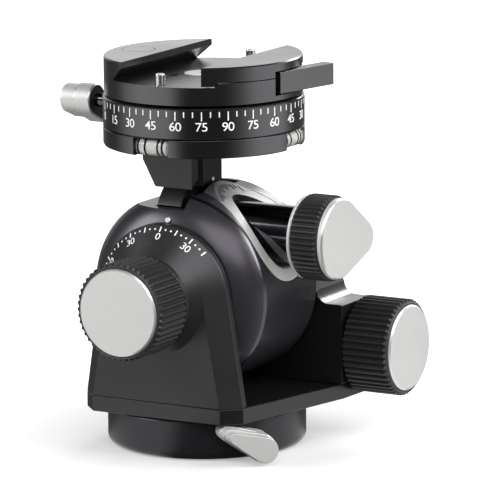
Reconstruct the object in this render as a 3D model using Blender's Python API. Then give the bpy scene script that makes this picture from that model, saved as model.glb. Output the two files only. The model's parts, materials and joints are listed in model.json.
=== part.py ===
"""Geared tripod head: two geared tilts, a base pan and a levelling turntable with a dovetail clamp.

Head frame: the pan axis is x = y = 0 and the underside is z = 0. The side with the
pitch drive knob faces -Y, and the side with the roll drive knob faces +X.
"""
import bpy
import bmesh
from math import acos, atan2, cos, hypot, pi, radians, sin, sqrt
from mathutils import Vector

for old in list(bpy.data.objects):
    bpy.data.objects.remove(old, do_unlink=True)

mm = 0.001
gap = 0.3 * mm            # running clearance between separate pieces
weld = 0.001 * mm         # points closer than this are one
overrun = 1.0 * mm        # how far a cutter passes the surface it opens
coarse, medium, fine = 12, 24, 48   # segments round small, middle and large turned pieces

# base disc and the pan bearing in it
base_radius = 30.8 * mm
base_height = 12.2 * mm
base_round = 2.6 * mm
base_top_bevel = 0.4 * mm
thread_radius = 4.7625 * mm        # 3/8 inch tripod thread
insert_flange_radius = 12.0 * mm
insert_flange_height = 3.0 * mm
insert_radius = 7.5 * mm
insert_height = 9.0 * mm
insert_hole_depth = 8.0 * mm
pan_flange_radius = 14.0 * mm
pan_flange_height = 4.4 * mm
pan_post_radius = 9.0 * mm
retainer_radius = 16.0 * mm
pan_nut_radius = 13.0 * mm
pan_nut_height = 2.2 * mm

# base lock lever: a stepped paddle on a radial screw under the plate's front right corner
lever_azimuth = radians(-45)
lever_axis_height = 5.9 * mm
lever_axis_side = 2.0 * mm         # pivot, along the tangent
lever_screw_radius = 1.9 * mm
lever_small_side, lever_small_height, lever_small_radius = -3.6 * mm, 10.0 * mm, 1.4 * mm
lever_big_side, lever_big_height, lever_big_radius = 7.7 * mm, 4.4 * mm, 3.2 * mm
lever_layers = [(5.7 * mm, 0.8 * mm), (2.4 * mm, 0.45 * mm), (3.0 * mm, 0.0)]   # depth, outline offset
lever_stand_off = 0.5 * mm

# yoke: plate, front upright, rear housing
plate_thickness = 4.9 * mm
plate_front = 30.86 * mm
plate_half_width = 27.76 * mm
plate_corner = 5.1 * mm
plate_flare_x, plate_flare_y = 37.9 * mm, 19.5 * mm
plate_right = 38.6 * mm
plate_left = 29.6 * mm
plate_rear_corner = 3.0 * mm

plate_screw_radius, plate_screw_head = 1.5 * mm, 2.6 * mm
plate_screw_head_height, plate_screw_length = 1.8 * mm, 11.0 * mm

drum_radius = 30.3 * mm
drum_floor_gap = 1.56 * mm         # between the drum and the plate
roll_axis_height = base_height + gap + plate_thickness + drum_floor_gap + drum_radius
upright_thickness = 7.4 * mm
upright_crown = 22.6 * mm          # radius of the rounded top, behind the chamfer
upright_chamfer_depth = 5.1 * mm
upright_chamfer_share = 0.735      # front crown radius over rear crown radius
boss_radius = 15.8 * mm
boss_length = 4.4 * mm
front_bush_wall = 1.6 * mm
front_trunnion_radius = 10.5 * mm

drum_front = 16.0 * mm
drum_rear = 15.5 * mm
drum_dome_depth = 6.7 * mm
drum_face_radius = 22.3 * mm
drum_rear_bevel = 1.3 * mm
drum_rear_bevel_radius = 28.3 * mm

housing_gap = 0.6 * mm
housing_rear = 35.5 * mm
housing_half_width = 29.6 * mm     # from the roll axis to the side under the arm's fillet
housing_crown = 21.6 * mm          # radius of the rounded top
housing_arm_drop = 6.8 * mm        # the arm's top is this far below the roll axis
housing_arm_height = roll_axis_height - housing_arm_drop
housing_fillet = 4.0 * mm
rear_trunnion_radius = 8.0 * mm
rear_bush_radius = 11.0 * mm
cover_thickness = 1.9 * mm
cover_radius = 18.5 * mm

# gears
worm_radius = 4.5 * mm
worm_depth = 0.9 * mm
worm_pitch = 2.6 * mm
worm_turns = 5
worm_backlash = 0.4 * mm
roll_worm_y = 29.0 * mm
roll_worm_drop = 20.4 * mm         # below the roll axis
roll_worm_height = roll_axis_height - roll_worm_drop
roll_wheel_width = 6.4 * mm
roll_wheel_teeth = 36
pitch_axis_rise = 17.8 * mm        # above the roll axis
pitch_axis_height = roll_axis_height + pitch_axis_rise
pitch_wheel_teeth = 30
tooth_depth = 0.9 * mm
journal_radius = 2.9 * mm

# drive and lock knobs
knob_radius = 14.9 * mm
knob_length = 15.4 * mm
knob_teeth = 24
knurl_depth = 0.55 * mm
knob_wall_radius = 12.2 * mm
cap_radius = 13.6 * mm
cap_height = 1.4 * mm
cap_bevel = 0.5 * mm
cap_proud = 0.8 * mm               # cap face over the grip's rim
knurl_smooth = 1.0 * mm            # plain rim before the knurl
pitch_knob_face = 52.8 * mm
roll_knob_face = 56.1 * mm
tear_radius = 13.0 * mm
tear_reach = 21.6 * mm
tear_tip_radius = 5.2 * mm
tear_length = 9.4 * mm
tear_cap_inset = 0.6 * mm
flange_radius = 12.9 * mm
flange_height = 0.9 * mm
tear_teeth = 24
pitch_lock_heading = radians(-8)   # from +Y towards +Z
roll_lock_heading = radians(-60)   # from +X towards +Z

# saddle and lock tube on the pitch axis
saddle_radius = 14.4 * mm
saddle_left = 4.2 * mm
saddle_facet = radians(36)
saddle_pocket_radius = 10.7 * mm
saddle_pocket_floor = 8.5 * mm
tube_radius = 8.9 * mm
tube_end = 35.4 * mm
lock_rod_radius = 2.6 * mm
trunnion_seat = 4.4 * mm

# neck and its hub
neck_right = 3.0 * mm
neck_half_depth = 5.65 * mm
neck_front_chamfer = 2.6 * mm
neck_face = 8.3 * mm
neck_left_top = 14.4 * mm
neck_left_bottom = 10.2 * mm
neck_slope_foot_rise, neck_slope_head_rise = 14.1 * mm, 21.9 * mm   # above the pitch axis
neck_slope_foot = pitch_axis_height + neck_slope_foot_rise
neck_slope_head = pitch_axis_height + neck_slope_head_rise
neck_plate_front = 12.9 * mm
neck_plate_back = 9.0 * mm
hub_left = 7.4 * mm
shield_radius = 18.5 * mm
shield_front, shield_rear = radians(62), radians(35)   # from straight up
shield_cavity_front, shield_cavity_rear = radians(4), radians(34)   # from level
shield_right = 1.0 * mm
hub_radius = 12.2 * mm
hub_thickness = 3.3 * mm
notch_floor_rise = 26.2 * mm       # above the roll axis
notch_floor = roll_axis_height + notch_floor_rise
notch_right = 4.3 * mm
notch_rear = 12.4 * mm
axle_radius = 3.8 * mm
axle_left = 14.5 * mm

# levelling turntable
neck_length = 26.1 * mm            # from the pitch axis to the level ring
level_ring_height = 5.75 * mm
level_ring_bottom = pitch_axis_height + neck_length
level_ring_top = level_ring_bottom + level_ring_height
ring_radius = 31.0 * mm
graduated_ring_height = 9.35 * mm
ring_top = level_ring_top + gap + graduated_ring_height
ring_bevel = 0.8 * mm
ring_bore = 16.0 * mm
vial_radius = 2.55 * mm
vial_length = 12.4 * mm
vial_set_back = 27.4 * mm
vial_side_shift = 3.5 * mm
vial_front_x = -1.0 * mm
turntable_radius = 15.7 * mm
retainer_width = 2.6 * mm
clamp_shadow_gap = 1.0 * mm
clamp_floor_thickness = 5.4 * mm
jaw_height, shelf_height = 6.0 * mm, 1.1 * mm     # above the channel floor
clamp_bottom = ring_top + clamp_shadow_gap
channel_floor = clamp_bottom + clamp_floor_thickness
jaw_top = channel_floor + jaw_height
shelf_top = channel_floor + shelf_height
clamp_radius = 30.6 * mm
clamp_bevel = 0.5 * mm
lip_height = 1.9 * mm
fixed_jaw_width, moving_jaw_width = 17.6 * mm, 15.8 * mm     # from the rim to the lip
fixed_lip = clamp_radius - fixed_jaw_width
moving_lip = clamp_radius - moving_jaw_width
moving_shelf_inset = 3.4 * mm
lever_bay_rise, lever_height = 1.3 * mm, 6.7 * mm
lever_bay_bottom = clamp_bottom + lever_bay_rise
lever_bottom = lever_bay_bottom + gap
lever_top = lever_bottom + lever_height
centre_screw_radius = 6.0 * mm
centre_screw_head = 1.7 * mm
centre_screw_shank = 3.0 * mm
pin_radius = 1.5 * mm
pin_rise, pin_length = 3.6 * mm, 5.2 * mm         # top above the channel floor, overall length
pin_top = channel_floor + pin_rise
pin_bottom = pin_top - pin_length
pin_edge = 3.0 * mm                # from the clamp's rim
pin_set_back = clamp_radius - pin_edge
pin_x = 1.0 * mm
pin_bore = 1.05 * mm
pin_wall = 1.0 * mm
pin_travel = 2.4 * mm
coil_radius, wire_radius = 0.5 * mm, 0.2 * mm
jaw_travel = 3.0 * mm
rod_radius = 1.3 * mm
rod_spacing = 12.0 * mm
rod_depth = 2.6 * mm               # below the channel floor
rod_height = channel_floor - rod_depth
rod_left = 8.0 * mm
lug_edge, lug_length = 11.6 * mm, 4.0 * mm
lug_left = clamp_radius - lug_edge
lug_right = lug_left + lug_length
lug_half_width = 2.2 * mm
lever_pin_edge, lever_pin_y = 4.2 * mm, -0.5 * mm
lever_pin_x = clamp_radius - lever_pin_edge
lever_pin_radius = 1.5 * mm
lever_head_radius = 3.9 * mm
lever_head_start = radians(64)
lever_pin_cover = 1.0 * mm
lever_heel_out, lever_heel_y = 0.2 * mm, -5.9 * mm          # x from the clamp's rim
lever_tip_out, lever_tip_y = 5.2 * mm, 18.0 * mm
lever_thick_x, lever_thick_y = 4.1 * mm, 0.9 * mm
lever_heel = (clamp_radius - lever_heel_out, lever_heel_y)
lever_tip_outer = (clamp_radius + lever_tip_out, lever_tip_y)
lever_tip_inner = (lever_tip_outer[0] - lever_thick_x, lever_tip_y + lever_thick_y)
lever_heel_reach = 7.1 * mm
bay_step_edge, bay_rear = 3.2 * mm, 20.0 * mm
bay_step = clamp_radius - bay_step_edge

# pan lock knob on the graduated ring
pan_lock_height_share = 0.487      # of the graduated ring's height
pan_lock_height = level_ring_top + gap + graduated_ring_height * pan_lock_height_share
pan_lock_shaft_radius = 1.95 * mm
pan_lock_knob_start, pan_lock_step, pan_lock_end = 38.4 * mm, 44.3 * mm, 49.3 * mm
pan_lock_large, pan_lock_small = 5.0 * mm, 4.3 * mm
pan_lock_reach = 8.2 * mm
pan_lock_tip = 1.7 * mm
pan_lock_small_share = 0.85
pan_lock_seat = 4.0 * mm
pan_lock_heading = radians(-50)    # from +Y towards +Z

# the model stands centred on the origin, so these extremes of the head give the offset
rear_lock_face = housing_rear + gap + tear_length + gap + cap_height
offset = Vector(((pan_lock_end - roll_knob_face) / 2, (pitch_knob_face - rear_lock_face) / 2, 0))

colours = {
    "black_anodised": ((0.028, 0.027, 0.031), 0.42, 0.75),
    "black_satin": ((0.018, 0.018, 0.020), 0.45, 0.70),
    "silver_blasted": ((0.62, 0.62, 0.60), 0.48, 0.85),
    "silver_brushed": ((0.55, 0.56, 0.58), 0.32, 1.00),
    "black_rubber": ((0.045, 0.045, 0.047), 0.70, 0.00),
    "steel": ((0.50, 0.50, 0.50), 0.28, 1.00),
    "brass": ((0.60, 0.45, 0.20), 0.35, 1.00),
    "bronze": ((0.45, 0.27, 0.12), 0.40, 1.00),
    "clear_acrylic": ((0.80, 0.88, 0.70), 0.08, 0.00),
}


def paint(name, finish):
    """One Principled material for one piece, in a named finish."""
    colour, roughness, metallic = colours[finish]
    material = bpy.data.materials.new(name + "_" + finish)
    material.use_nodes = True
    shader = material.node_tree.nodes["Principled BSDF"]
    shader.inputs["Base Color"].default_value = (*colour, 1)
    shader.inputs["Roughness"].default_value = roughness
    shader.inputs["Metallic"].default_value = metallic
    return material


bodies = {}


def body(name, anchor, carrier=None):
    """An empty on the joint axis that carries every piece of one moving body."""
    frame = bpy.data.objects.new(name + "_axis", None)
    bpy.context.scene.collection.objects.link(frame)
    anchor = Vector(anchor)
    if carrier is None:
        frame.location = anchor + offset
    else:
        frame.parent = bodies[carrier][0]
        frame.location = anchor - bodies[carrier][1]
    bodies[name] = (frame, anchor)


def place(name, bm, carrier):
    """Turn a mesh drawn in the head frame into an object carried by a body."""
    bmesh.ops.recalc_face_normals(bm, faces=bm.faces)
    mesh = bpy.data.meshes.new(name)
    bm.to_mesh(mesh)
    bm.free()
    mesh.shade_smooth()
    mesh.set_sharp_from_angle(angle=radians(30))
    piece = bpy.data.objects.new(name, mesh)
    bpy.context.scene.collection.objects.link(piece)
    frame, anchor = bodies[carrier]
    piece.parent = frame
    piece.location = -anchor
    return piece


def part(name, bm, carrier, finish):
    piece = place(name, bm, carrier)
    piece.data.materials.append(paint(name, finish))
    return piece


def carve(piece, carrier, bm, operation="DIFFERENCE"):
    """Cut, join or trim a piece with a hidden solid drawn in the head frame."""
    tool = place(piece.name + "_" + operation.lower(), bm, carrier)
    tool.hide_render = True
    tool.display_type = "WIRE"
    step = piece.modifiers.new(tool.name, "BOOLEAN")
    step.operation = operation
    step.object = tool
    step.solver = "EXACT"


def spot(axis, a, b, along):
    """A point from its two cross coordinates, in xyz order, and its place along an axis."""
    return {"X": (along, a, b), "Y": (a, along, b), "Z": (a, b, along)}[axis]


def turned(profile, axis, centre=(0, 0), steps=medium):
    """A solid of revolution from (radius, place) pairs. A zero radius closes its neighbour with a flat face."""
    bm = bmesh.new()
    rings = []
    for radius, along in profile:
        ring = []
        if radius > 0:
            for a, b in circle_points(centre, radius, steps):
                ring.append(bm.verts.new(spot(axis, a, b, along)))
        rings.append(ring)
    for low, high in zip(rings, rings[1:] + rings[:1]):
        if low and high:
            for i in range(steps):
                bm.faces.new((low[i - 1], low[i], high[i], high[i - 1]))
        elif low or high:
            bm.faces.new(low or high)
    return bm


def rod(radius, axis, start, end, centre=(0, 0), steps=coarse):
    return turned([(0, start), (radius, start), (radius, end), (0, end)], axis, centre, steps)


def sleeve(outer, inner, axis, start, end, centre=(0, 0), steps=medium):
    profile = [(inner, start), (outer, start), (outer, end), (inner, end)]
    return turned(profile, axis, centre, steps)


def loft(rings):
    """A solid through rings of equally many points, closed with a flat face at both ends."""
    bm = bmesh.new()
    loops = [[bm.verts.new(point) for point in ring] for ring in rings]
    for low, high in zip(loops, loops[1:]):
        for i in range(len(low)):
            bm.faces.new((low[i - 1], low[i], high[i], high[i - 1]))
    bm.faces.new(loops[0])
    bm.faces.new(loops[-1])
    return bm


def closed_loft(rings):
    """A ring-shaped solid: the last ring joins the first."""
    bm = bmesh.new()
    loops = [[bm.verts.new(point) for point in ring] for ring in rings]
    for low, high in zip(loops, loops[1:] + loops[:1]):
        for i in range(len(low)):
            bm.faces.new((low[i - 1], low[i], high[i], high[i - 1]))
    return bm


def prism(outline, axis, start, end):
    return loft([[spot(axis, a, b, along) for a, b in outline] for along in (start, end)])


def block(x0, x1, y0, y1, z0, z1):
    return prism([(x0, y0), (x1, y0), (x1, y1), (x0, y1)], "Z", z0, z1)


def arc(centre, radius, first, last, count):
    """Points on an arc, from the first angle to the last, both included."""
    angles = [first + (last - first) * i / (count - 1) for i in range(count)]
    return [(centre[0] + radius * cos(t), centre[1] + radius * sin(t)) for t in angles]


def teardrop(centre, radius, tip, tip_radius, count):
    """The outline round a large and a small circle, in evenly spaced points."""
    reach = hypot(tip[0] - centre[0], tip[1] - centre[1])
    heading = atan2(tip[1] - centre[1], tip[0] - centre[0])
    open_angle = acos((radius - tip_radius) / reach)
    side = sqrt(reach ** 2 - (radius - tip_radius) ** 2)
    lengths = [2 * (pi - open_angle) * radius, side, 2 * open_angle * tip_radius, side]
    points = []
    for i in range(count):
        along = sum(lengths) * i / count
        leg = 0
        while along > lengths[leg]:
            along -= lengths[leg]
            leg += 1
        share = along / lengths[leg]
        start, end = heading + open_angle, heading - open_angle
        if leg == 0:
            angle = start + share * 2 * (pi - open_angle)
            points.append(arc(centre, radius, angle, angle, 2)[0])
        elif leg == 2:
            angle = end + share * 2 * open_angle
            points.append(arc(tip, tip_radius, angle, angle, 2)[0])
        else:
            turn = end if leg == 1 else start
            a = arc(centre, radius, turn, turn, 2)[0]
            b = arc(tip, tip_radius, turn, turn, 2)[0]
            a, b = (a, b) if leg == 1 else (b, a)
            points.append((a[0] + (b[0] - a[0]) * share, a[1] + (b[1] - a[1]) * share))
    return points


def ridged(outline, depth):
    """Draw every second point of an outline in along its normal, which makes knurl ridges."""
    count = len(outline)
    result = []
    for i, (a, b) in enumerate(outline):
        before, after = outline[i - 1], outline[(i + 1) % count]
        along = Vector((after[0] - before[0], after[1] - before[1])).normalized()
        inset = depth if i % 2 else 0
        result.append((a - along.y * inset, b + along.x * inset))
    return result


def circle_points(centre, radius, count):
    return [(centre[0] + radius * cos(2 * pi * i / count), centre[1] + radius * sin(2 * pi * i / count))
            for i in range(count)]


def gear(radius, teeth, width_start, width_end, axis, centre, bore):
    """A toothed wheel with a bore."""
    outline = ridged(circle_points(centre, radius, teeth * 2), tooth_depth)
    hole = circle_points(centre, bore, teeth * 2)
    return closed_loft([[spot(axis, a, b, along) for a, b in points] for points, along in
                        ((hole, width_start), (outline, width_start), (outline, width_end), (hole, width_end))])


def worm_shaft(outer, sign, head, worm_start, tail, axis, centre):
    """A shaft given by distances inwards from its outer end: head steps, a helical ridge, a plain tail."""
    steps, grain = 12, 4
    length = worm_turns * worm_pitch
    worm = [(worm_start + length * i / (worm_turns * grain), None) for i in range(worm_turns * grain + 1)]
    plain = [(worm_start - gap, journal_radius)]
    last = worm_start + length
    ending = [(last + gap, journal_radius), (tail, journal_radius)]
    rings = []
    for along, radius in head + plain + worm + ending:
        ring = []
        for i in range(steps):
            size = radius
            if radius is None:
                phase = ((along - worm_start) / worm_pitch - i / steps) % 1
                size = worm_radius - worm_depth * abs(2 * phase - 1)
            a = centre[0] + size * cos(2 * pi * i / steps)
            b = centre[1] + size * sin(2 * pi * i / steps)
            ring.append(spot(axis, a, b, outer + sign * along))
        rings.append(ring)
    return loft(rings)


def build_base():
    body("root", (0, 0, 0))
    cavity_floor = insert_flange_height + gap
    cavity_roof = cavity_floor + 2 * gap + pan_flange_height
    round_steps = 4
    edge = arc((base_radius - base_round, base_round), base_round, -pi / 2, 0, round_steps)
    profile = [(insert_flange_radius + gap, 0)] + edge
    profile += [(base_radius, base_height - base_top_bevel), (base_radius - base_top_bevel, base_height),
                (retainer_radius + gap, base_height), (retainer_radius + gap, cavity_roof),
                (pan_flange_radius + gap, cavity_roof), (pan_flange_radius + gap, cavity_floor),
                (insert_flange_radius + gap, cavity_floor)]
    disc = part("base_disc", turned(profile, "Z", steps=fine), "root", "black_anodised")
    bore = radial_rod(lever_screw_radius + gap, pan_flange_radius, base_radius + overrun)
    carve(disc, "root", bore)
    insert = turned([(thread_radius, 0), (insert_flange_radius, 0), (insert_flange_radius, insert_flange_height),
                     (insert_radius, insert_flange_height), (insert_radius, insert_height),
                     (0, insert_height), (0, insert_hole_depth), (thread_radius, insert_hole_depth)], "Z")
    part("thread_insert", insert, "root", "brass")
    ring = sleeve(retainer_radius, pan_post_radius + gap, "Z", cavity_roof + gap, base_height)
    part("pan_retainer_ring", ring, "root", "steel")
    return cavity_floor + gap, cavity_roof


def radial_point(side, height, out):
    """A point given along the base lever's tangent, upwards, and out from the pan axis."""
    across = lever_azimuth + pi / 2
    return (out * cos(lever_azimuth) + side * cos(across), out * sin(lever_azimuth) + side * sin(across), height)


def radial_rod(radius, start, end):
    circle = circle_points((lever_axis_side, lever_axis_height), radius, coarse)
    return loft([[radial_point(side, height, out) for side, height in circle] for out in (start, end)])


def build_base_lever():
    body("base_lever", radial_point(lever_axis_side, lever_axis_height, base_radius), "root")
    small, big = (lever_small_side, lever_small_height), (lever_big_side, lever_big_height)
    out = base_radius + lever_stand_off
    rings = []
    for depth, grow in lever_layers:
        outline = teardrop(big, lever_big_radius + grow, small, lever_small_radius + grow, medium)
        for place_out in (out, out + depth):
            rings.append([radial_point(side, height, place_out) for side, height in outline])
        out += depth
    lever = part("base_lock_lever", loft(rings), "base_lever", "silver_blasted")
    screw_start = pan_flange_radius + 2 * gap
    screw_end = base_radius + lever_stand_off + lever_layers[0][0]
    carve(lever, "base_lever", radial_rod(lever_screw_radius + gap, base_radius, screw_end + gap))
    part("base_lock_screw", radial_rod(lever_screw_radius, screw_start, screw_end), "base_lever", "steel")


def build_yoke(spindle_start, flange_top):
    body("yoke", (0, 0, 0), "root")
    plate_bottom = base_height + gap
    plate_top = plate_bottom + plate_thickness
    nut_floor = plate_top - pan_nut_height - gap
    spindle = turned([(0, insert_height + gap), (insert_radius + gap, insert_height + gap),
                      (insert_radius + gap, spindle_start), (pan_flange_radius, spindle_start),
                      (pan_flange_radius, flange_top - gap), (pan_post_radius, flange_top - gap),
                      (pan_post_radius, plate_top - gap), (0, plate_top - gap)], "Z")
    part("pan_spindle", spindle, "yoke", "steel")
    nut = sleeve(pan_nut_radius, pan_post_radius + gap, "Z", nut_floor + gap, plate_top - gap)
    part("pan_nut", nut, "yoke", "steel")

    rear = housing_rear
    outline = [(-plate_half_width + plate_corner, -plate_front), (plate_half_width - plate_corner, -plate_front),
               (plate_half_width, -plate_front + plate_corner), (plate_flare_x, plate_flare_y),
               (plate_right, rear - plate_rear_corner), (plate_right - plate_rear_corner, rear),
               (-plate_left + plate_rear_corner, rear), (-plate_left, rear - plate_rear_corner),
               (-plate_left, 0), (-plate_half_width, -plate_front + plate_corner)]
    plate = part("base_plate", prism(outline, "Z", plate_bottom, plate_top), "yoke", "black_anodised")
    well = turned([(0, plate_bottom - overrun), (pan_post_radius + gap, plate_bottom - overrun),
                   (pan_post_radius + gap, nut_floor), (pan_nut_radius + gap, nut_floor),
                   (pan_nut_radius + gap, plate_top + overrun), (0, plate_top + overrun)], "Z")
    carve(plate, "yoke", well)
    return plate, plate_bottom, plate_top


def tangent_angle(side, height, crown):
    """Where a straight side from a point beside the roll axis meets a round crown on that axis."""
    drop = height - roll_axis_height
    return atan2(drop, side) + acos(crown / hypot(side, drop))


def upright_outline(half_width, crown, foot, steps):
    """Straight sides that rise from the foot and run tangent into a round crown on the roll axis."""
    start = tangent_angle(half_width, foot, crown)
    crown_points = arc((0, roll_axis_height), crown, start, pi - start, steps)
    return [(half_width, foot)] + crown_points + [(-half_width, foot)]


def build_front_upright(plate_top):
    foot = plate_top + gap
    back = -plate_front + upright_thickness
    shoulder = -plate_front + upright_chamfer_depth
    wide = upright_outline(plate_half_width, upright_crown, foot, medium)
    narrow = upright_outline(plate_half_width - plate_corner, upright_crown * upright_chamfer_share, foot, medium)
    rings = [[(x, y, z) for x, z in outline]
             for outline, y in ((wide, back), (wide, shoulder), (narrow, -plate_front))]
    upright = part("front_upright", loft(rings), "yoke", "black_anodised")
    axis = (0, roll_axis_height)
    carve(upright, "yoke", rod(boss_radius, "Y", -plate_front - boss_length, shoulder, axis, medium), "UNION")
    bore = front_trunnion_radius + gap + front_bush_wall + gap
    carve(upright, "yoke", rod(bore, "Y", -plate_front - boss_length - overrun, back + overrun, axis, medium))
    bush = sleeve(bore - gap, front_trunnion_radius + gap, "Y", -plate_front - boss_length + gap, back - gap, axis)
    part("front_bush", bush, "yoke", "bronze")
    return upright


def build_rear_housing(plate_top):
    foot = plate_top + gap
    front = drum_rear + drum_rear_bevel + housing_gap
    axis = (0, roll_axis_height)
    corner = (housing_half_width + housing_fillet, housing_arm_height + housing_fillet)
    left = pi - tangent_angle(housing_half_width, foot, housing_crown)
    right = tangent_angle(housing_half_width, corner[1], housing_crown)
    crown = arc(axis, housing_crown, left, right, medium)
    outline = [(-housing_half_width, foot)] + crown + arc(corner, housing_fillet, pi, 3 * pi / 2, 6)
    outline += [(plate_right, housing_arm_height), (plate_right, foot)]
    housing = part("rear_housing", prism(outline, "Y", front, housing_rear), "yoke", "black_satin")
    wheel_start = roll_worm_y - roll_wheel_width / 2
    wheel_end = roll_worm_y + roll_wheel_width / 2
    wheel_radius = roll_axis_height - roll_worm_height - worm_radius - worm_backlash
    cover_front = housing_rear - cover_thickness
    cavity = turned([(0, front - overrun), (rear_bush_radius + gap, front - overrun),
                     (rear_bush_radius + gap, wheel_start - gap), (wheel_radius + gap, wheel_start - gap),
                     (wheel_radius + gap, cover_front - gap), (cover_radius + gap, cover_front - gap),
                     (cover_radius + gap, housing_rear + overrun), (0, housing_rear + overrun)], "Y", axis)
    carve(housing, "yoke", cavity)
    worm_axis = (roll_worm_y, roll_worm_height)
    worm_length = worm_turns * worm_pitch
    tunnel = rod(worm_radius + gap, "X", -worm_length - gap, plate_right + overrun, worm_axis)
    carve(housing, "yoke", tunnel)
    bush = sleeve(rear_bush_radius, rear_trunnion_radius + gap, "Y", front + gap, wheel_start - 2 * gap, axis)
    part("rear_bush", bush, "yoke", "bronze")
    cover = sleeve(cover_radius, lock_rod_radius + gap, "Y", cover_front, housing_rear, axis)
    part("rear_cover", cover, "yoke", "black_satin")
    wheel = gear(wheel_radius, roll_wheel_teeth, wheel_start, wheel_end, "Y", axis, rear_trunnion_radius + gap)
    return housing, wheel, worm_axis, wheel_end


def build_plate_screws(plate, upright, housing, plate_bottom, plate_top):
    """Four screws from under the plate, two into the front upright and two into the rear housing."""
    radius, head = plate_screw_radius, plate_screw_head
    front_y = -plate_front + upright_thickness / 2
    rear_y = drum_rear + drum_rear_bevel + housing_gap + head + gap
    spread = plate_half_width - plate_corner - head - gap
    bottom = plate_bottom + gap
    step = bottom + plate_screw_head_height
    top = bottom + plate_screw_length
    for name, x, y, target in (("plate_screw_front_left", -spread, front_y, upright),
                               ("plate_screw_front_right", spread, front_y, upright),
                               ("plate_screw_rear_left", -spread, rear_y, housing),
                               ("plate_screw_rear_right", spread, rear_y, housing)):
        shape = [(0, bottom), (head, bottom), (head, step), (radius, step), (radius, top), (0, top)]
        part(name, turned(shape, "Z", (x, y), coarse), "yoke", "steel")
        hole = [(0, plate_bottom - overrun), (head + gap, plate_bottom - overrun), (head + gap, step + gap),
                (radius + gap, step + gap), (radius + gap, top + gap), (0, top + gap)]
        carve(plate, "yoke", turned(hole, "Z", (x, y), coarse))
        carve(target, "yoke", turned(hole, "Z", (x, y), coarse))


def knurled_sleeve(outline, plain, front, bore, recess, axis, start, sign, length, cap_depth):
    """A knurled grip as a closed sleeve. Every outline has equally many points; start is the outer rim."""
    rings = [(recess, 0), (front, 0), (plain, knurl_smooth), (outline, knurl_smooth),
             (outline, length), (bore, length), (bore, cap_depth), (recess, cap_depth)]
    return closed_loft([[spot(axis, a, b, start + sign * along) for a, b in ring] for ring, along in rings])


def drive_knob(name, carrier, axis, centre, face, sign, worm_start, tail):
    """A round knob: grip, cap, and a worm shaft whose head fills the grip."""
    count = knob_teeth * 2
    rim = face + sign * cap_proud
    cap_depth = cap_height + gap
    bm = knurled_sleeve(ridged(circle_points(centre, knob_radius, count), knurl_depth),
                        circle_points(centre, knob_radius - knurl_depth, count),
                        circle_points(centre, knob_radius - knurl_smooth, count),
                        circle_points(centre, knob_wall_radius + gap, count),
                        circle_points(centre, cap_radius + gap, count),
                        axis, rim, sign, knob_length, cap_depth)
    part(name + "_knob_grip", bm, carrier, "black_rubber")
    profile = [(0, face), (cap_radius - cap_bevel, face), (cap_radius, face + sign * cap_bevel),
               (cap_radius, rim + sign * cap_height), (0, rim + sign * cap_height)]
    part(name + "_knob_cap", turned(profile, axis, centre, fine), carrier, "silver_blasted")
    head = [(0, knob_wall_radius), (knob_length - cap_depth, knob_wall_radius),
            (knob_length - cap_depth, journal_radius)]
    outer = rim + sign * cap_depth
    shaft = worm_shaft(outer, sign, head, abs(worm_start - outer), abs(tail - outer), axis, centre)
    part(name + "_worm_shaft", shaft, carrier, "steel")


def shrunk(centre, radius, tip, tip_radius, inset, count):
    return teardrop(centre, radius - inset, tip, tip_radius - inset, count)


def lock_knob(name, carrier, axis, centre, inner, sign, heading, rod_start):
    """A teardrop knob: knurled grip, cap, and the rod that it turns. The grip starts at its inner face."""
    count = tear_teeth * 2
    reach = tear_reach - tear_tip_radius
    tip = (centre[0] + reach * cos(heading), centre[1] + reach * sin(heading))
    rim = inner + sign * tear_length
    shape = teardrop(centre, tear_radius, tip, tear_tip_radius, count)
    turn = [atan2(b - centre[1], a - centre[0]) for a, b in shape]
    bore = [(centre[0] + (lock_rod_radius + gap) * cos(t), centre[1] + (lock_rod_radius + gap) * sin(t))
            for t in turn]
    levels = [(bore, rim), (shrunk(centre, tear_radius, tip, tear_tip_radius, knurl_smooth, count), rim),
              (shrunk(centre, tear_radius, tip, tear_tip_radius, knurl_depth, count), rim - sign * knurl_smooth),
              (ridged(shape, knurl_depth), rim - sign * knurl_smooth), (ridged(shape, knurl_depth), inner),
              (bore, inner)]
    bm = closed_loft([[spot(axis, a, b, along) for a, b in ring] for ring, along in levels])
    part(name + "_grip", bm, carrier, "black_rubber")
    base, face = rim + sign * gap, rim + sign * (gap + cap_height)
    rings = []
    for inset, along in ((tear_cap_inset, base), (tear_cap_inset, face - sign * cap_bevel),
                         (tear_cap_inset + cap_bevel, face)):
        outline = shrunk(centre, tear_radius, tip, tear_tip_radius, inset, medium)
        rings.append([spot(axis, a, b, along) for a, b in outline])
    part(name + "_cap", loft(rings), carrier, "silver_blasted")
    part(name + "_rod", rod(lock_rod_radius, axis, rod_start, rim, centre), carrier, "steel")


def build_roll_drive(worm_axis, wheel):
    body("roll_knob", (0, *worm_axis), "yoke")
    half = worm_turns * worm_pitch / 2
    drive_knob("roll", "roll_knob", "X", worm_axis, roll_knob_face, -1, half, -half - 2 * gap)
    bush = sleeve(worm_radius, journal_radius + gap, "X", half + worm_radius, plate_right - 2 * gap, worm_axis)
    part("roll_worm_bush", bush, "yoke", "bronze")
    body("drum", (0, 0, roll_axis_height), "yoke")
    part("roll_worm_wheel", wheel, "drum", "bronze")


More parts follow.
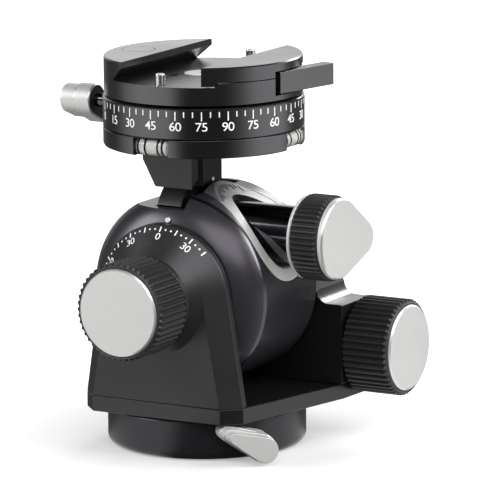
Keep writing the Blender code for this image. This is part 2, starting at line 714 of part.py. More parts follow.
def build_drum(wheel_end):
    axis = (0, roll_axis_height)
    pitch_axis = (0, pitch_axis_height)
    turn_steps = 5
    back = drum_rear + drum_rear_bevel
    dome = [(drum_face_radius + (drum_radius - drum_face_radius) * cos(t),
             -drum_front - drum_dome_depth * sin(t)) for t in
            [pi / 2 * i / (turn_steps - 1) for i in range(turn_steps)]]
    profile = [(0, back), (drum_rear_bevel_radius, back), (drum_radius, drum_rear)] + dome
    profile += [(0, -drum_front - drum_dome_depth)]
    drum = part("drum_shell", turned(profile, "Y", axis, fine), "drum", "black_anodised")

    front_face = -drum_front - drum_dome_depth
    seat = front_face + trunnion_seat
    worm_end = worm_turns * worm_pitch / 2 + 4 * gap
    carve(drum, "drum", turned([(0, front_face - overrun), (front_trunnion_radius + gap, front_face - overrun),
                                (front_trunnion_radius + gap, seat + gap), (worm_radius + 2 * gap, seat + gap),
                                (worm_radius + 2 * gap, worm_end), (0, worm_end)], "Y", axis))
    rear_seat = back - trunnion_seat
    carve(drum, "drum", rod(rear_trunnion_radius + gap, "Y", rear_seat - gap, back + overrun, axis))

    wheel_radius = pitch_axis_height - roll_axis_height - worm_radius - worm_backlash
    cavity_radius = shield_radius + gap
    cavity = (arc(pitch_axis, cavity_radius, pi + shield_cavity_front, shield_cavity_rear, medium)
              + arc(pitch_axis, wheel_radius + gap, shield_cavity_rear, -pi + shield_cavity_front, medium))
    carve(drum, "drum", prism(cavity, "X", -hub_left - 2 * gap, saddle_left + gap))
    carve(drum, "drum", block(-drum_radius - overrun, notch_right, front_face - overrun, notch_rear,
                              notch_floor, roll_axis_height + drum_radius + overrun))
    carve(drum, "drum", rod(saddle_radius + gap, "X", saddle_left - gap, drum_radius + overrun, pitch_axis, medium))
    carve(drum, "drum", rod(axle_radius + gap, "X", -axle_left - gap, -hub_left, pitch_axis))

    corner = (drum_radius * sin(saddle_facet), roll_axis_height + drum_radius * cos(saddle_facet))
    rise = (corner[0] - saddle_left) * sin(saddle_facet) / cos(saddle_facet)
    bottom = -pi / 6
    outline = ([(saddle_left, corner[1] + rise), (saddle_left, roll_axis_height + drum_radius * sin(bottom))]
               + arc(axis, drum_radius, bottom, pi / 2 - saddle_facet, medium))
    saddle = part("saddle", prism(outline, "Y", -saddle_radius - overrun, saddle_radius + overrun),
                  "drum", "silver_brushed")
    carve(saddle, "drum", rod(saddle_radius, "X", saddle_left - overrun, drum_radius + overrun, pitch_axis, fine),
          "INTERSECT")
    carve(saddle, "drum", turned([(0, saddle_left - overrun), (lock_rod_radius + gap, saddle_left - overrun),
                                  (lock_rod_radius + gap, saddle_pocket_floor),
                                  (saddle_pocket_radius, saddle_pocket_floor),
                                  (saddle_pocket_radius, drum_radius + overrun), (0, drum_radius + overrun)],
                                 "X", pitch_axis, fine))
    tube = sleeve(tube_radius, lock_rod_radius + gap, "X", saddle_pocket_floor + gap, tube_end, pitch_axis)
    part("lock_tube", tube, "drum", "black_anodised")

    bore = worm_radius + 2 * gap
    front_end = -plate_front - boss_length + gap
    part("front_trunnion", sleeve(front_trunnion_radius, bore, "Y", front_end, seat, axis), "drum", "steel")
    part("pitch_worm_bush", sleeve(bore - gap, journal_radius + gap, "Y", front_end, seat - trunnion_seat, axis),
         "drum", "bronze")
    rear = turned([(0, rear_seat), (rear_trunnion_radius, rear_seat), (rear_trunnion_radius, wheel_end),
                   (0, wheel_end)], "Y", axis)
    part("rear_trunnion", rear, "drum", "steel")

    body("pitch_knob", (0, 0, roll_axis_height), "drum")
    half = worm_turns * worm_pitch / 2
    drive_knob("pitch", "pitch_knob", "Y", axis, -pitch_knob_face, 1, -half, half + 2 * gap)
    return pitch_axis, wheel_radius


def build_locks(pitch_axis, wheel_end):
    body("pitch_lock", (0, *pitch_axis), "drum")
    start = tube_end + gap
    part("pitch_lock_flange", sleeve(flange_radius, lock_rod_radius + gap, "X", start, start + flange_height,
                                     pitch_axis), "pitch_lock", "silver_blasted")
    lock_knob("pitch_lock", "pitch_lock", "X", pitch_axis, start + flange_height + gap, 1, pitch_lock_heading,
              neck_right + gap)
    axis = (0, roll_axis_height)
    body("roll_lock", (0, 0, roll_axis_height), "yoke")
    lock_knob("roll_lock", "roll_lock", "Y", axis, housing_rear + gap, 1, roll_lock_heading, wheel_end + gap)


def build_tilt(pitch_axis, wheel_radius):
    body("tilt", (0, 0, pitch_axis_height), "drum")
    centre_z = pitch_axis[1]
    inner = wheel_radius + gap
    front, rear = pi / 2 + shield_front, pi / 2 - shield_rear
    crown = arc(pitch_axis, shield_radius, front, rear, medium)
    hub = crown + arc(pitch_axis, hub_radius, rear, front - 2 * pi, medium)
    sector = crown + arc(pitch_axis, inner, rear, front, medium)
    hub_right = -hub_left + hub_thickness
    bm = loft([[spot("X", a, b, along) for a, b in outline] for outline, along in
               ((hub, -hub_left), (hub, hub_right), (sector, hub_right), (sector, shield_right))])
    bmesh.ops.remove_doubles(bm, verts=bm.verts, dist=weld)
    neck = part("neck", bm, "tilt", "black_anodised")
    top = level_ring_bottom - gap
    slope_top = neck_slope_head
    start = hub_left - gap
    rings = []
    for z, left in ((centre_z + inner + gap, start), (neck_slope_foot, start),
                    (neck_slope_foot + gap, neck_left_bottom), (slope_top, neck_left_top), (top, neck_left_top)):
        rings.append([(-left, neck_half_depth, z), (-left, -neck_face, z),
                      (neck_right - neck_front_chamfer, -neck_face, z),
                      (neck_right, -neck_face + neck_front_chamfer, z), (neck_right, neck_half_depth, z)])
    carve(neck, "tilt", loft(rings), "UNION")
    carve(neck, "tilt", rod(axle_radius + gap, "X", -hub_left - overrun, hub_right + overrun, pitch_axis))
    outline = [(neck_right, neck_slope_foot), (neck_right, top), (-neck_left_top, top),
               (-neck_left_top, slope_top), (-neck_left_bottom, neck_slope_foot)]
    front_plate = part("neck_front_plate", prism(outline, "Y", -neck_plate_front, -neck_plate_back),
                       "tilt", "black_anodised")
    carve(front_plate, "tilt", rod(shield_radius + gap, "X", -neck_left_top - overrun, neck_right + overrun,
                                   pitch_axis, fine))
    wheel = gear(wheel_radius, pitch_wheel_teeth, hub_right + gap, neck_right - gap, "X", pitch_axis,
                 axle_radius + gap)
    part("pitch_worm_wheel", wheel, "tilt", "bronze")
    part("pitch_axle", rod(axle_radius, "X", -axle_left, neck_right - gap, pitch_axis), "tilt", "steel")
    washer_start = neck_right + gap
    part("friction_washer", sleeve(hub_radius, lock_rod_radius + gap, "X", washer_start, saddle_left - gap,
                                   pitch_axis), "tilt", "bronze")


def build_level_ring():
    ring = turned([(0, level_ring_bottom), (ring_radius - ring_bevel, level_ring_bottom),
                   (ring_radius, level_ring_bottom + ring_bevel), (ring_radius, level_ring_top),
                   (0, level_ring_top)], "Z", steps=fine)
    level = part("level_ring", ring, "tilt", "black_anodised")
    half = vial_length / 2
    middle = (level_ring_bottom + level_ring_top) / 2
    reach = vial_radius + gap
    low, high = level_ring_bottom - overrun, level_ring_top - gap
    carve(level, "tilt", block(vial_front_x - half - gap, vial_front_x + half + gap, -ring_radius - overrun,
                               -vial_set_back + reach, low, high))
    carve(level, "tilt", block(vial_set_back - reach, ring_radius + overrun, vial_side_shift - half - gap,
                               vial_side_shift + half + gap, low, high))
    part("level_vial_front", rod(vial_radius, "X", vial_front_x - half, vial_front_x + half,
                                 (-vial_set_back, middle)), "tilt", "clear_acrylic")
    part("level_vial_side", rod(vial_radius, "Y", vial_side_shift - half, vial_side_shift + half,
                                (vial_set_back, middle)), "tilt", "clear_acrylic")

    bottom = level_ring_top + gap
    graduated = part("graduated_ring", turned([(ring_bore, bottom), (ring_radius, bottom),
                                               (ring_radius, ring_top - ring_bevel),
                                               (ring_radius - ring_bevel, ring_top), (ring_bore, ring_top)],
                                              "Z", steps=fine), "tilt", "black_anodised")
    axis = (0, pan_lock_height)
    carve(graduated, "tilt", rod(pan_lock_shaft_radius + gap, "X", -ring_radius - overrun, -turntable_radius, axis))
    flange_top = pan_lock_height + pan_lock_shaft_radius
    retainer_bottom = flange_top + gap
    post = turntable_radius - retainer_width
    part("turntable_retainer", sleeve(turntable_radius, post + gap, "Z", retainer_bottom, ring_top), "tilt", "steel")
    body("pan_lock", (0, 0, pan_lock_height), "tilt")
    shaft = rod(pan_lock_shaft_radius, "X", -pan_lock_knob_start - pan_lock_seat, -turntable_radius - gap, axis)
    part("pan_lock_shaft", shaft, "pan_lock", "steel")
    tip = (pan_lock_reach * cos(pan_lock_heading), pan_lock_height + pan_lock_reach * sin(pan_lock_heading))
    rings = []
    for along, radius, share in ((pan_lock_knob_start, pan_lock_large, 1), (pan_lock_step, pan_lock_large, 1),
                                 (pan_lock_step, pan_lock_small, pan_lock_small_share),
                                 (pan_lock_end, pan_lock_small, pan_lock_small_share)):
        point = (tip[0] * share, pan_lock_height + (tip[1] - pan_lock_height) * share)
        rings.append([spot("X", a, b, -along) for a, b in teardrop(axis, radius, point, pan_lock_tip, medium)])
    knob = part("pan_lock_knob", loft(rings), "pan_lock", "black_rubber")
    carve(knob, "pan_lock", rod(pan_lock_shaft_radius + gap, "X", -pan_lock_knob_start - pan_lock_seat - gap,
                                -pan_lock_knob_start + overrun, axis))
    return bottom + gap / 2, flange_top, post


def build_turntable(spindle_bottom, flange_top, post):
    body("turntable", (0, 0, clamp_bottom), "tilt")
    shank = centre_screw_shank + gap
    spindle = turned([(shank, spindle_bottom), (turntable_radius - gap / 2, spindle_bottom),
                      (turntable_radius - gap / 2, flange_top), (post, flange_top), (post, clamp_bottom - gap),
                      (shank, clamp_bottom - gap)], "Z")
    part("turntable_spindle", spindle, "turntable", "steel")
    clamp_disc = turned([(0, clamp_bottom), (clamp_radius, clamp_bottom), (clamp_radius, jaw_top - clamp_bevel),
                         (clamp_radius - clamp_bevel, jaw_top), (0, jaw_top)], "Z", steps=fine)
    clamp = part("clamp_body", clamp_disc, "turntable", "black_anodised")
    wide = clamp_radius + overrun
    lip_bottom = jaw_top - lip_height
    undercut = fixed_lip + lip_bottom - channel_floor
    shelf = moving_lip + moving_shelf_inset
    channel = [(-fixed_lip, jaw_top + overrun), (-fixed_lip, lip_bottom), (-undercut, channel_floor),
               (shelf, channel_floor), (shelf, shelf_top), (wide, shelf_top), (wide, jaw_top + overrun)]
    carve(clamp, "turntable", prism(channel, "Y", -wide, wide))

    head_top = channel_floor - gap
    head_bottom = head_top - centre_screw_head
    carve(clamp, "turntable", turned([(0, clamp_bottom - overrun), (shank, clamp_bottom - overrun),
                                      (shank, head_bottom - gap), (centre_screw_radius + gap, head_bottom - gap),
                                      (centre_screw_radius + gap, channel_floor + overrun),
                                      (0, channel_floor + overrun)], "Z"))
    screw = turned([(0, spindle_bottom + gap), (centre_screw_shank, spindle_bottom + gap),
                    (centre_screw_shank, head_bottom), (centre_screw_radius, head_bottom),
                    (centre_screw_radius, head_top), (0, head_top)], "Z")
    part("centre_screw", screw, "turntable", "silver_blasted")

    travel = jaw_travel
    jaw_bottom = shelf_top + gap
    wall = (lip_bottom - jaw_bottom) + moving_lip
    jaw_outline = [(moving_lip, jaw_top), (moving_lip, lip_bottom), (wall, jaw_bottom), (wide, jaw_bottom),
                   (wide, jaw_top)]
    body("jaw", (moving_lip, 0, jaw_bottom), "turntable")
    jaw = part("moving_jaw", prism(jaw_outline, "Y", -clamp_radius, clamp_radius), "jaw", "black_anodised")
    shape = turned([(0, jaw_bottom - overrun), (clamp_radius, jaw_bottom - overrun),
                    (clamp_radius, jaw_top - clamp_bevel), (clamp_radius - clamp_bevel, jaw_top),
                    (0, jaw_top)], "Z", steps=fine)
    carve(jaw, "jaw", shape, "INTERSECT")

    bay_left = lever_pin_x - lever_head_radius - gap
    bay_side = lever_pin_y + lever_head_radius + gap
    bay_front = lever_pin_y - lever_heel_reach
    bay_far = clamp_radius + overrun
    bay = [(bay_left, bay_front), (bay_far, bay_front), (bay_far, bay_rear), (bay_step, bay_rear),
           (bay_step, bay_side), (bay_left, bay_side)]
    carve(clamp, "turntable", prism(bay, "Z", lever_bay_bottom, lever_top + gap))
    swept = [(bay_left - travel, bay_front), (bay_far, bay_front), (bay_far, bay_rear),
             (bay_step - travel, bay_rear), (bay_step - travel, bay_side), (bay_left - travel, bay_side)]
    carve(jaw, "jaw", prism(swept, "Z", jaw_bottom - overrun, lever_top + gap))

    for side in (-1, 1):
        y = side * rod_spacing
        carve(jaw, "jaw", block(lug_left, lug_right, y - lug_half_width, y + lug_half_width,
                                rod_height - rod_radius, jaw_bottom + gap), "UNION")
        carve(clamp, "turntable", block(lug_left - gap, lug_right + travel + gap, y - lug_half_width - gap,
                                        y + lug_half_width + gap, rod_height - rod_radius - gap,
                                        shelf_top + overrun))
        carve(clamp, "turntable", rod(rod_radius + gap, "X", rod_left - gap, lug_left, (y, rod_height)))
        carve(jaw, "jaw", rod(rod_radius, "X", rod_left, lug_left + gap, (y, rod_height)), "UNION")

    body("flip_lever", (lever_pin_x, lever_pin_y, lever_bottom), "turntable")
    around = arc((lever_pin_x, lever_pin_y), lever_head_radius, lever_head_start, 3 * pi / 2, coarse)
    outline = [lever_heel, lever_tip_outer, lever_tip_inner] + around
    lever = part("flip_lever", prism(outline, "Z", lever_bottom, lever_top), "flip_lever", "black_satin")
    pin_axis = (lever_pin_x, lever_pin_y)
    carve(lever, "flip_lever", rod(lever_pin_radius + gap, "Z", lever_bottom - overrun,
                                   lever_top - lever_pin_cover, pin_axis))
    pin_start = clamp_bottom + gap
    carve(clamp, "turntable", rod(lever_pin_radius + gap, "Z", pin_start - overrun, lever_bay_bottom + overrun,
                                  pin_axis))
    part("lever_pin", rod(lever_pin_radius, "Z", pin_start, lever_top - lever_pin_cover - gap, pin_axis),
         "turntable", "steel")

    for name, side in (("pin_front", -1), ("pin_rear", 1)):
        y = side * pin_set_back
        centre = (pin_x, y)
        well_floor = pin_bottom - pin_travel - gap
        carve(clamp, "turntable", rod(pin_radius + gap, "Z", well_floor, channel_floor + overrun, centre))
        body(name, (pin_x, y, pin_bottom), "turntable")
        profile = [(pin_bore, pin_bottom), (pin_radius, pin_bottom), (pin_radius, pin_top - gap),
                   (pin_radius - gap, pin_top), (0, pin_top), (0, pin_top - pin_wall), (pin_bore, pin_top - pin_wall)]
        part(name, turned(profile, "Z", centre, coarse), name, "silver_blasted")
        spring = coil(centre, well_floor + gap, pin_top - pin_wall - pin_travel - gap)
        part(name + "_spring", spring, "turntable", "steel")


def coil(centre, start, end):
    """A round wire wound into a helix, closed with a flat face at both ends."""
    turns, grain, sides = 3, 6, 4
    count = turns * grain
    rings = []
    for i in range(count + 1):
        angle = 2 * pi * i / grain
        z = start + wire_radius + (end - start - 2 * wire_radius) * i / count
        ring = []
        for k in range(sides):
            out = coil_radius + wire_radius * cos(2 * pi * k / sides)
            rise = wire_radius * sin(2 * pi * k / sides)
            ring.append((centre[0] + out * cos(angle), centre[1] + out * sin(angle), z + rise))
        rings.append(ring)
    return loft(rings)


pan_start, pan_roof = build_base()
build_base_lever()
plate, plate_bottom, plate_top = build_yoke(pan_start, pan_roof)
upright = build_front_upright(plate_top)
housing, roll_wheel, roll_worm_axis, roll_wheel_end = build_rear_housing(plate_top)
build_plate_screws(plate, upright, housing, plate_bottom, plate_top)
build_roll_drive(roll_worm_axis, roll_wheel)
pitch_axis, pitch_wheel_radius = build_drum(roll_wheel_end)
build_locks(pitch_axis, roll_wheel_end)
build_tilt(pitch_axis, pitch_wheel_radius)
build_turntable(*build_level_ring())
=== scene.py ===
import json
from math import acos, atan2, cos, degrees, hypot, pi, radians, sin, sqrt, tan

import bmesh
import bpy
from mathutils import Matrix, Vector
from mathutils.kdtree import KDTree


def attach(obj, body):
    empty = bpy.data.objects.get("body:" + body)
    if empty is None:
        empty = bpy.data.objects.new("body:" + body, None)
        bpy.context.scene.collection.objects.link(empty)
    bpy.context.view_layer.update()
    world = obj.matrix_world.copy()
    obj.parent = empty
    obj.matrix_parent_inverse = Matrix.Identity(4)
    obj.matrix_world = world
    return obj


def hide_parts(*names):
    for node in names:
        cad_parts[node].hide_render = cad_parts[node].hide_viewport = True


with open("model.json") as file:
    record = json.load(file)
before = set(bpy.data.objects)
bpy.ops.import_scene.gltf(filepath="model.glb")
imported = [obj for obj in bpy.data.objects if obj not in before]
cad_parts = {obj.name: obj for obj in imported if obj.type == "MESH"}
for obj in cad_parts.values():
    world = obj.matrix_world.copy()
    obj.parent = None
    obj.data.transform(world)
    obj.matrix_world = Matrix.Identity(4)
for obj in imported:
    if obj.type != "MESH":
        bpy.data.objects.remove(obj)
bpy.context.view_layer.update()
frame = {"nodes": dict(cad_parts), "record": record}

mm = 0.001
weld = 0.0005  # millimetres within which points are one
print("frame loaded")

# The head is drawn in millimetres about its pan axis, with the underside at z = 0.
# finishPiece puts it in place.
headCentre = Vector((-3.4, 2.95, 0.0))
rollHeight, pitchHeight = 49.3, 67.1
rollAxis, pitchAxis = (0.0, rollHeight), (0.0, pitchHeight)


# hand tools
def startClean():
    if bpy.context.object and bpy.context.object.mode != "OBJECT":
        bpy.ops.object.mode_set(mode="OBJECT")
    bpy.ops.object.select_all(action="DESELECT")


def alone(piece):
    startClean()
    piece.select_set(True)
    bpy.context.view_layer.objects.active = piece


def wireLoop(name, points, closed=True):
    # a circle primitive whose corners are pulled, one by one, to the drawn points
    startClean()
    bpy.ops.mesh.primitive_circle_add(vertices=len(points), radius=1.0, fill_type="NOTHING")
    piece = bpy.context.object
    piece.name = piece.data.name = name
    for corner, point in zip(piece.data.vertices, points):
        corner.co = point
    if not closed:
        bm = bmesh.new()
        bm.from_mesh(piece.data)
        bm.verts.ensure_lookup_table()
        last = bm.edges.get((bm.verts[0], bm.verts[len(points) - 1]))
        bm.edges.remove(last)
        bm.to_mesh(piece.data)
        bm.free()
    return piece


def edit(piece):
    alone(piece)
    bpy.ops.object.mode_set(mode="EDIT")
    bpy.ops.mesh.select_mode(type="EDGE")
    bpy.ops.mesh.select_all(action="SELECT")


def closeUp(piece):
    # merge what meets and turn every face outwards
    bpy.ops.mesh.select_all(action="SELECT")
    bpy.ops.mesh.remove_doubles(threshold=weld)
    bpy.ops.mesh.normals_make_consistent(inside=False)
    bpy.ops.object.mode_set(mode="OBJECT")
    return piece


def lathe(name, profile, steps=144):
    # profile of (radius, height) spun about Z; a profile that starts and ends on the axis is open
    open_ = profile[0][0] == 0
    piece = wireLoop(name, [(r, 0, h) for r, h in profile], closed=not open_)
    edit(piece)
    bpy.ops.mesh.spin(steps=steps, angle=2 * pi, center=(0, 0, 0), axis=(0, 0, 1))
    return closeUp(piece)


def plate(name, outline, low, high):
    # flat outline filled and pulled up from low to high
    piece = wireLoop(name, [(x, y, low) for x, y in outline])
    edit(piece)
    bpy.ops.mesh.edge_face_add()
    bpy.ops.mesh.extrude_region_move(TRANSFORM_OT_translate={"value": (0, 0, high - low)})
    return closeUp(piece)


def stack(name, loops):
    # the first loop is filled, then pulled up and reshaped to each loop in turn
    piece = wireLoop(name, loops[0])
    edit(piece)
    bpy.ops.mesh.edge_face_add()
    for before, after in zip(loops, loops[1:]):
        bpy.ops.mesh.extrude_region_move(TRANSFORM_OT_translate={"value": (0, 0, 0)})
        bm = bmesh.from_edit_mesh(piece.data)
        places = KDTree(len(before))
        for i, point in enumerate(before):
            places.insert(point, i)
        places.balance()
        for v in [v for v in bm.verts if v.select]:
            v.co = after[places.find(v.co)[1]]
        bmesh.update_edit_mesh(piece.data)
    return closeUp(piece)


def lay(piece, axis, centre=(0, 0)):
    # built along Z, laid along another axis; the outline's x, y become the two cross axes in xyz order
    a, b = centre
    turns = {"X": Matrix(((0, 0, 1, 0), (1, 0, 0, a), (0, 1, 0, b), (0, 0, 0, 1))),
             "Y": Matrix(((1, 0, 0, a), (0, 0, 1, 0), (0, 1, 0, b), (0, 0, 0, 1))),
             "Z": Matrix(((1, 0, 0, a), (0, 1, 0, b), (0, 0, 1, 0), (0, 0, 0, 1)))}
    piece.data.transform(turns[axis])
    if axis == "Y":
        piece.data.flip_normals()
    return piece


def apply(piece, kind, **values):
    alone(piece)
    step = piece.modifiers.new(kind.title(), kind)
    for key, value in values.items():
        setattr(step, key, value)
    bpy.ops.object.modifier_apply(modifier=step.name)
    return piece


def cut(piece, tool, operation="DIFFERENCE"):
    apply(piece, "BOOLEAN", object=tool, operation=operation, solver="EXACT")
    bpy.data.objects.remove(tool, do_unlink=True)
    return piece


# stand-ins for the materials of faces and broken edges, until finishPiece swaps them
faceMark, edgeMark = bpy.data.materials.new("faceMark"), bpy.data.materials.new("edgeMark")
# bevel faces of the black anodised pieces and of the lever get edgeSheen, a lighter copy of their black: a
# painted edge highlight
edgeFinish = {"anodisedBlack": "edgeSheen", "leverGrey": "edgeSheen", "blastedSilver": "rimSilver"}


def soften(piece, width=0.35, segments=2, angle=30):
    # small machined edge break on every corner sharper than the angle
    for mark in (faceMark, edgeMark):
        if mark.name not in piece.data.materials:
            piece.data.materials.append(mark)
    return apply(piece, "BEVEL", width=width, segments=segments, limit_method="ANGLE",
                 angle_limit=radians(angle), harden_normals=False, material=1)


def joinAll(name, parts):
    startClean()
    for part in parts:
        part.select_set(True)
    bpy.context.view_layer.objects.active = parts[0]
    bpy.ops.object.join()
    bpy.context.object.name = bpy.context.object.data.name = name
    return bpy.context.object


def finishPiece(piece, body, look, replaces=(), smooth=32):
    # millimetres about the pan axis become metres in the frame
    piece.data.transform(Matrix.Translation(headCentre * mm) @ Matrix.Scale(mm, 4))
    alone(piece)
    bpy.ops.object.shade_smooth_by_angle(angle=radians(smooth))
    apply(piece, "WEIGHTED_NORMAL", keep_sharp=True)
    if not piece.data.materials:
        piece.data.materials.append(finish[look])
    for i, had in enumerate(piece.data.materials):
        if had == faceMark or had is None:
            piece.data.materials[i] = finish[look]
        elif had == edgeMark:
            piece.data.materials[i] = finish[edgeFinish.get(look, look)]
    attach(piece, body)
    if replaces:
        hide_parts(*replaces)
    return piece


def paintFaces(piece, look, chosen):
    # a further material on the faces that pass the test
    piece.data.materials.append(finish[look])
    for face in piece.data.polygons:
        if chosen(face):
            face.material_index = len(piece.data.materials) - 1


def circle(radius, count):
    return [(radius * cos(2 * pi * i / count), radius * sin(2 * pi * i / count)) for i in range(count)]


def arc(centre, radius, first, last, count):
    angles = [radians(first + (last - first) * i / (count - 1)) for i in range(count)]
    return [(centre[0] + radius * cos(t), centre[1] + radius * sin(t)) for t in angles]


def block(name, x0, x1, y0, y1, z0, z1):
    startClean()
    bpy.ops.mesh.primitive_cube_add(size=1, location=(0, 0, 0))
    piece = bpy.context.object
    piece.name = name
    piece.data.transform(Matrix.Translation(((x0 + x1) / 2, (y0 + y1) / 2, (z0 + z1) / 2))
                         @ Matrix.Diagonal((x1 - x0, y1 - y0, z1 - z0, 1)))
    return piece


def bar(name, radius, start, end, axis, centre=(0, 0), steps=64):
    return lay(lathe(name, [(0, start), (radius, start), (radius, end), (0, end)], steps), axis, centre)


# materials
def newMaterial(name, colour, roughness, metallic):
    material = bpy.data.materials.new(name)
    material.use_nodes = True
    shader = material.node_tree.nodes["Principled BSDF"]
    shader.inputs["Base Color"].default_value = (*colour, 1)
    shader.inputs["Roughness"].default_value = roughness
    shader.inputs["Metallic"].default_value = metallic
    return material, material.node_tree, shader


def several(tree, *kinds):
    return [tree.nodes.new("ShaderNode" + kind) for kind in kinds]


def wire(tree, *wires):
    # each wire: a node, its output, the node that takes it, and where
    for start, output, end, entry in wires:
        tree.links.new(start.outputs[output], end.inputs[entry])


def ranged(tree, fromMin, fromMax, toMin=0.0, toMax=1.0, smooth=False):
    step = tree.nodes.new("ShaderNodeMapRange")
    for field, value in (("From Min", fromMin), ("From Max", fromMax), ("To Min", toMin), ("To Max", toMax)):
        step.inputs[field].default_value = value
    if smooth:
        step.interpolation_type = "SMOOTHSTEP"
    return step


def blended(tree, first, second):
    blend = tree.nodes.new("ShaderNodeMix")
    blend.data_type = "RGBA"
    blend.inputs[6].default_value = (*first, 1)
    blend.inputs[7].default_value = (*second, 1)
    return blend


def grainGroup():
    # fine grain and slow patchiness on object coordinates; Stretch draws the grain out along an axis
    group = bpy.data.node_groups.new("metalGrain", "ShaderNodeTree")
    for name, kind in (("Scale", "Float"), ("Stretch", "Vector"), ("Patch scale", "Float")):
        group.interface.new_socket(name, in_out="INPUT", socket_type="NodeSocket" + kind)
    for name in ("Grain", "Patch"):
        group.interface.new_socket(name, in_out="OUTPUT", socket_type="NodeSocketFloat")
    source, sink = group.nodes.new("NodeGroupInput"), group.nodes.new("NodeGroupOutput")
    place, stretch, fine, slow = several(group, "TexCoord", "VectorMath", "TexNoise", "TexNoise")
    stretch.operation = "MULTIPLY"
    wire(group, (place, "Object", stretch, 0), (source, "Stretch", stretch, 1))
    fine.inputs["Detail"].default_value = 3
    slow.inputs["Detail"].default_value = 2
    wire(group, (stretch, 0, fine, "Vector"), (place, "Object", slow, "Vector"),
         (source, "Scale", fine, "Scale"), (source, "Patch scale", slow, "Scale"),
         (fine, "Fac", sink, "Grain"), (slow, "Fac", sink, "Patch"))
    return group


metalGrain = grainGroup()
grainLook = {"patchScale": 60.0, "patchRange": (0.3, 0.7), "relief": 0.00004}


def addGrain(tree, shader, scale, stretch, bump, roughness, colours=None):
    # grain feeds the bump, and grain with patches moves the roughness and the colour a little
    grain, relief = several(tree, "Group", "Bump")
    grain.node_tree = metalGrain
    grain.inputs["Scale"].default_value = scale
    grain.inputs["Stretch"].default_value = stretch
    grain.inputs["Patch scale"].default_value = grainLook["patchScale"]
    relief.inputs["Strength"].default_value = bump
    relief.inputs["Distance"].default_value = grainLook["relief"]
    wire(tree, (grain, "Grain", relief, "Height"), (relief, "Normal", shader, "Normal"))
    gloss = ranged(tree, *grainLook["patchRange"], *roughness)
    wire(tree, (grain, "Patch", gloss, "Value"), (gloss, "Result", shader, "Roughness"))
    if colours:
        blend = blended(tree, *colours)
        wire(tree, (grain, "Grain", blend, 0), (blend, 2, shader, "Base Color"))
        return blend


def grained(name, dark, roughness, light=None, metallic=1.0, bump=0.25, scale=4200.0, shine=0.5):
    material, tree, shader = newMaterial(name, dark, roughness[0], metallic)
    shader.inputs["Specular IOR Level"].default_value = shine
    addGrain(tree, shader, scale, (1, 1, 1), bump, roughness, (dark, light) if light else None)
    return material


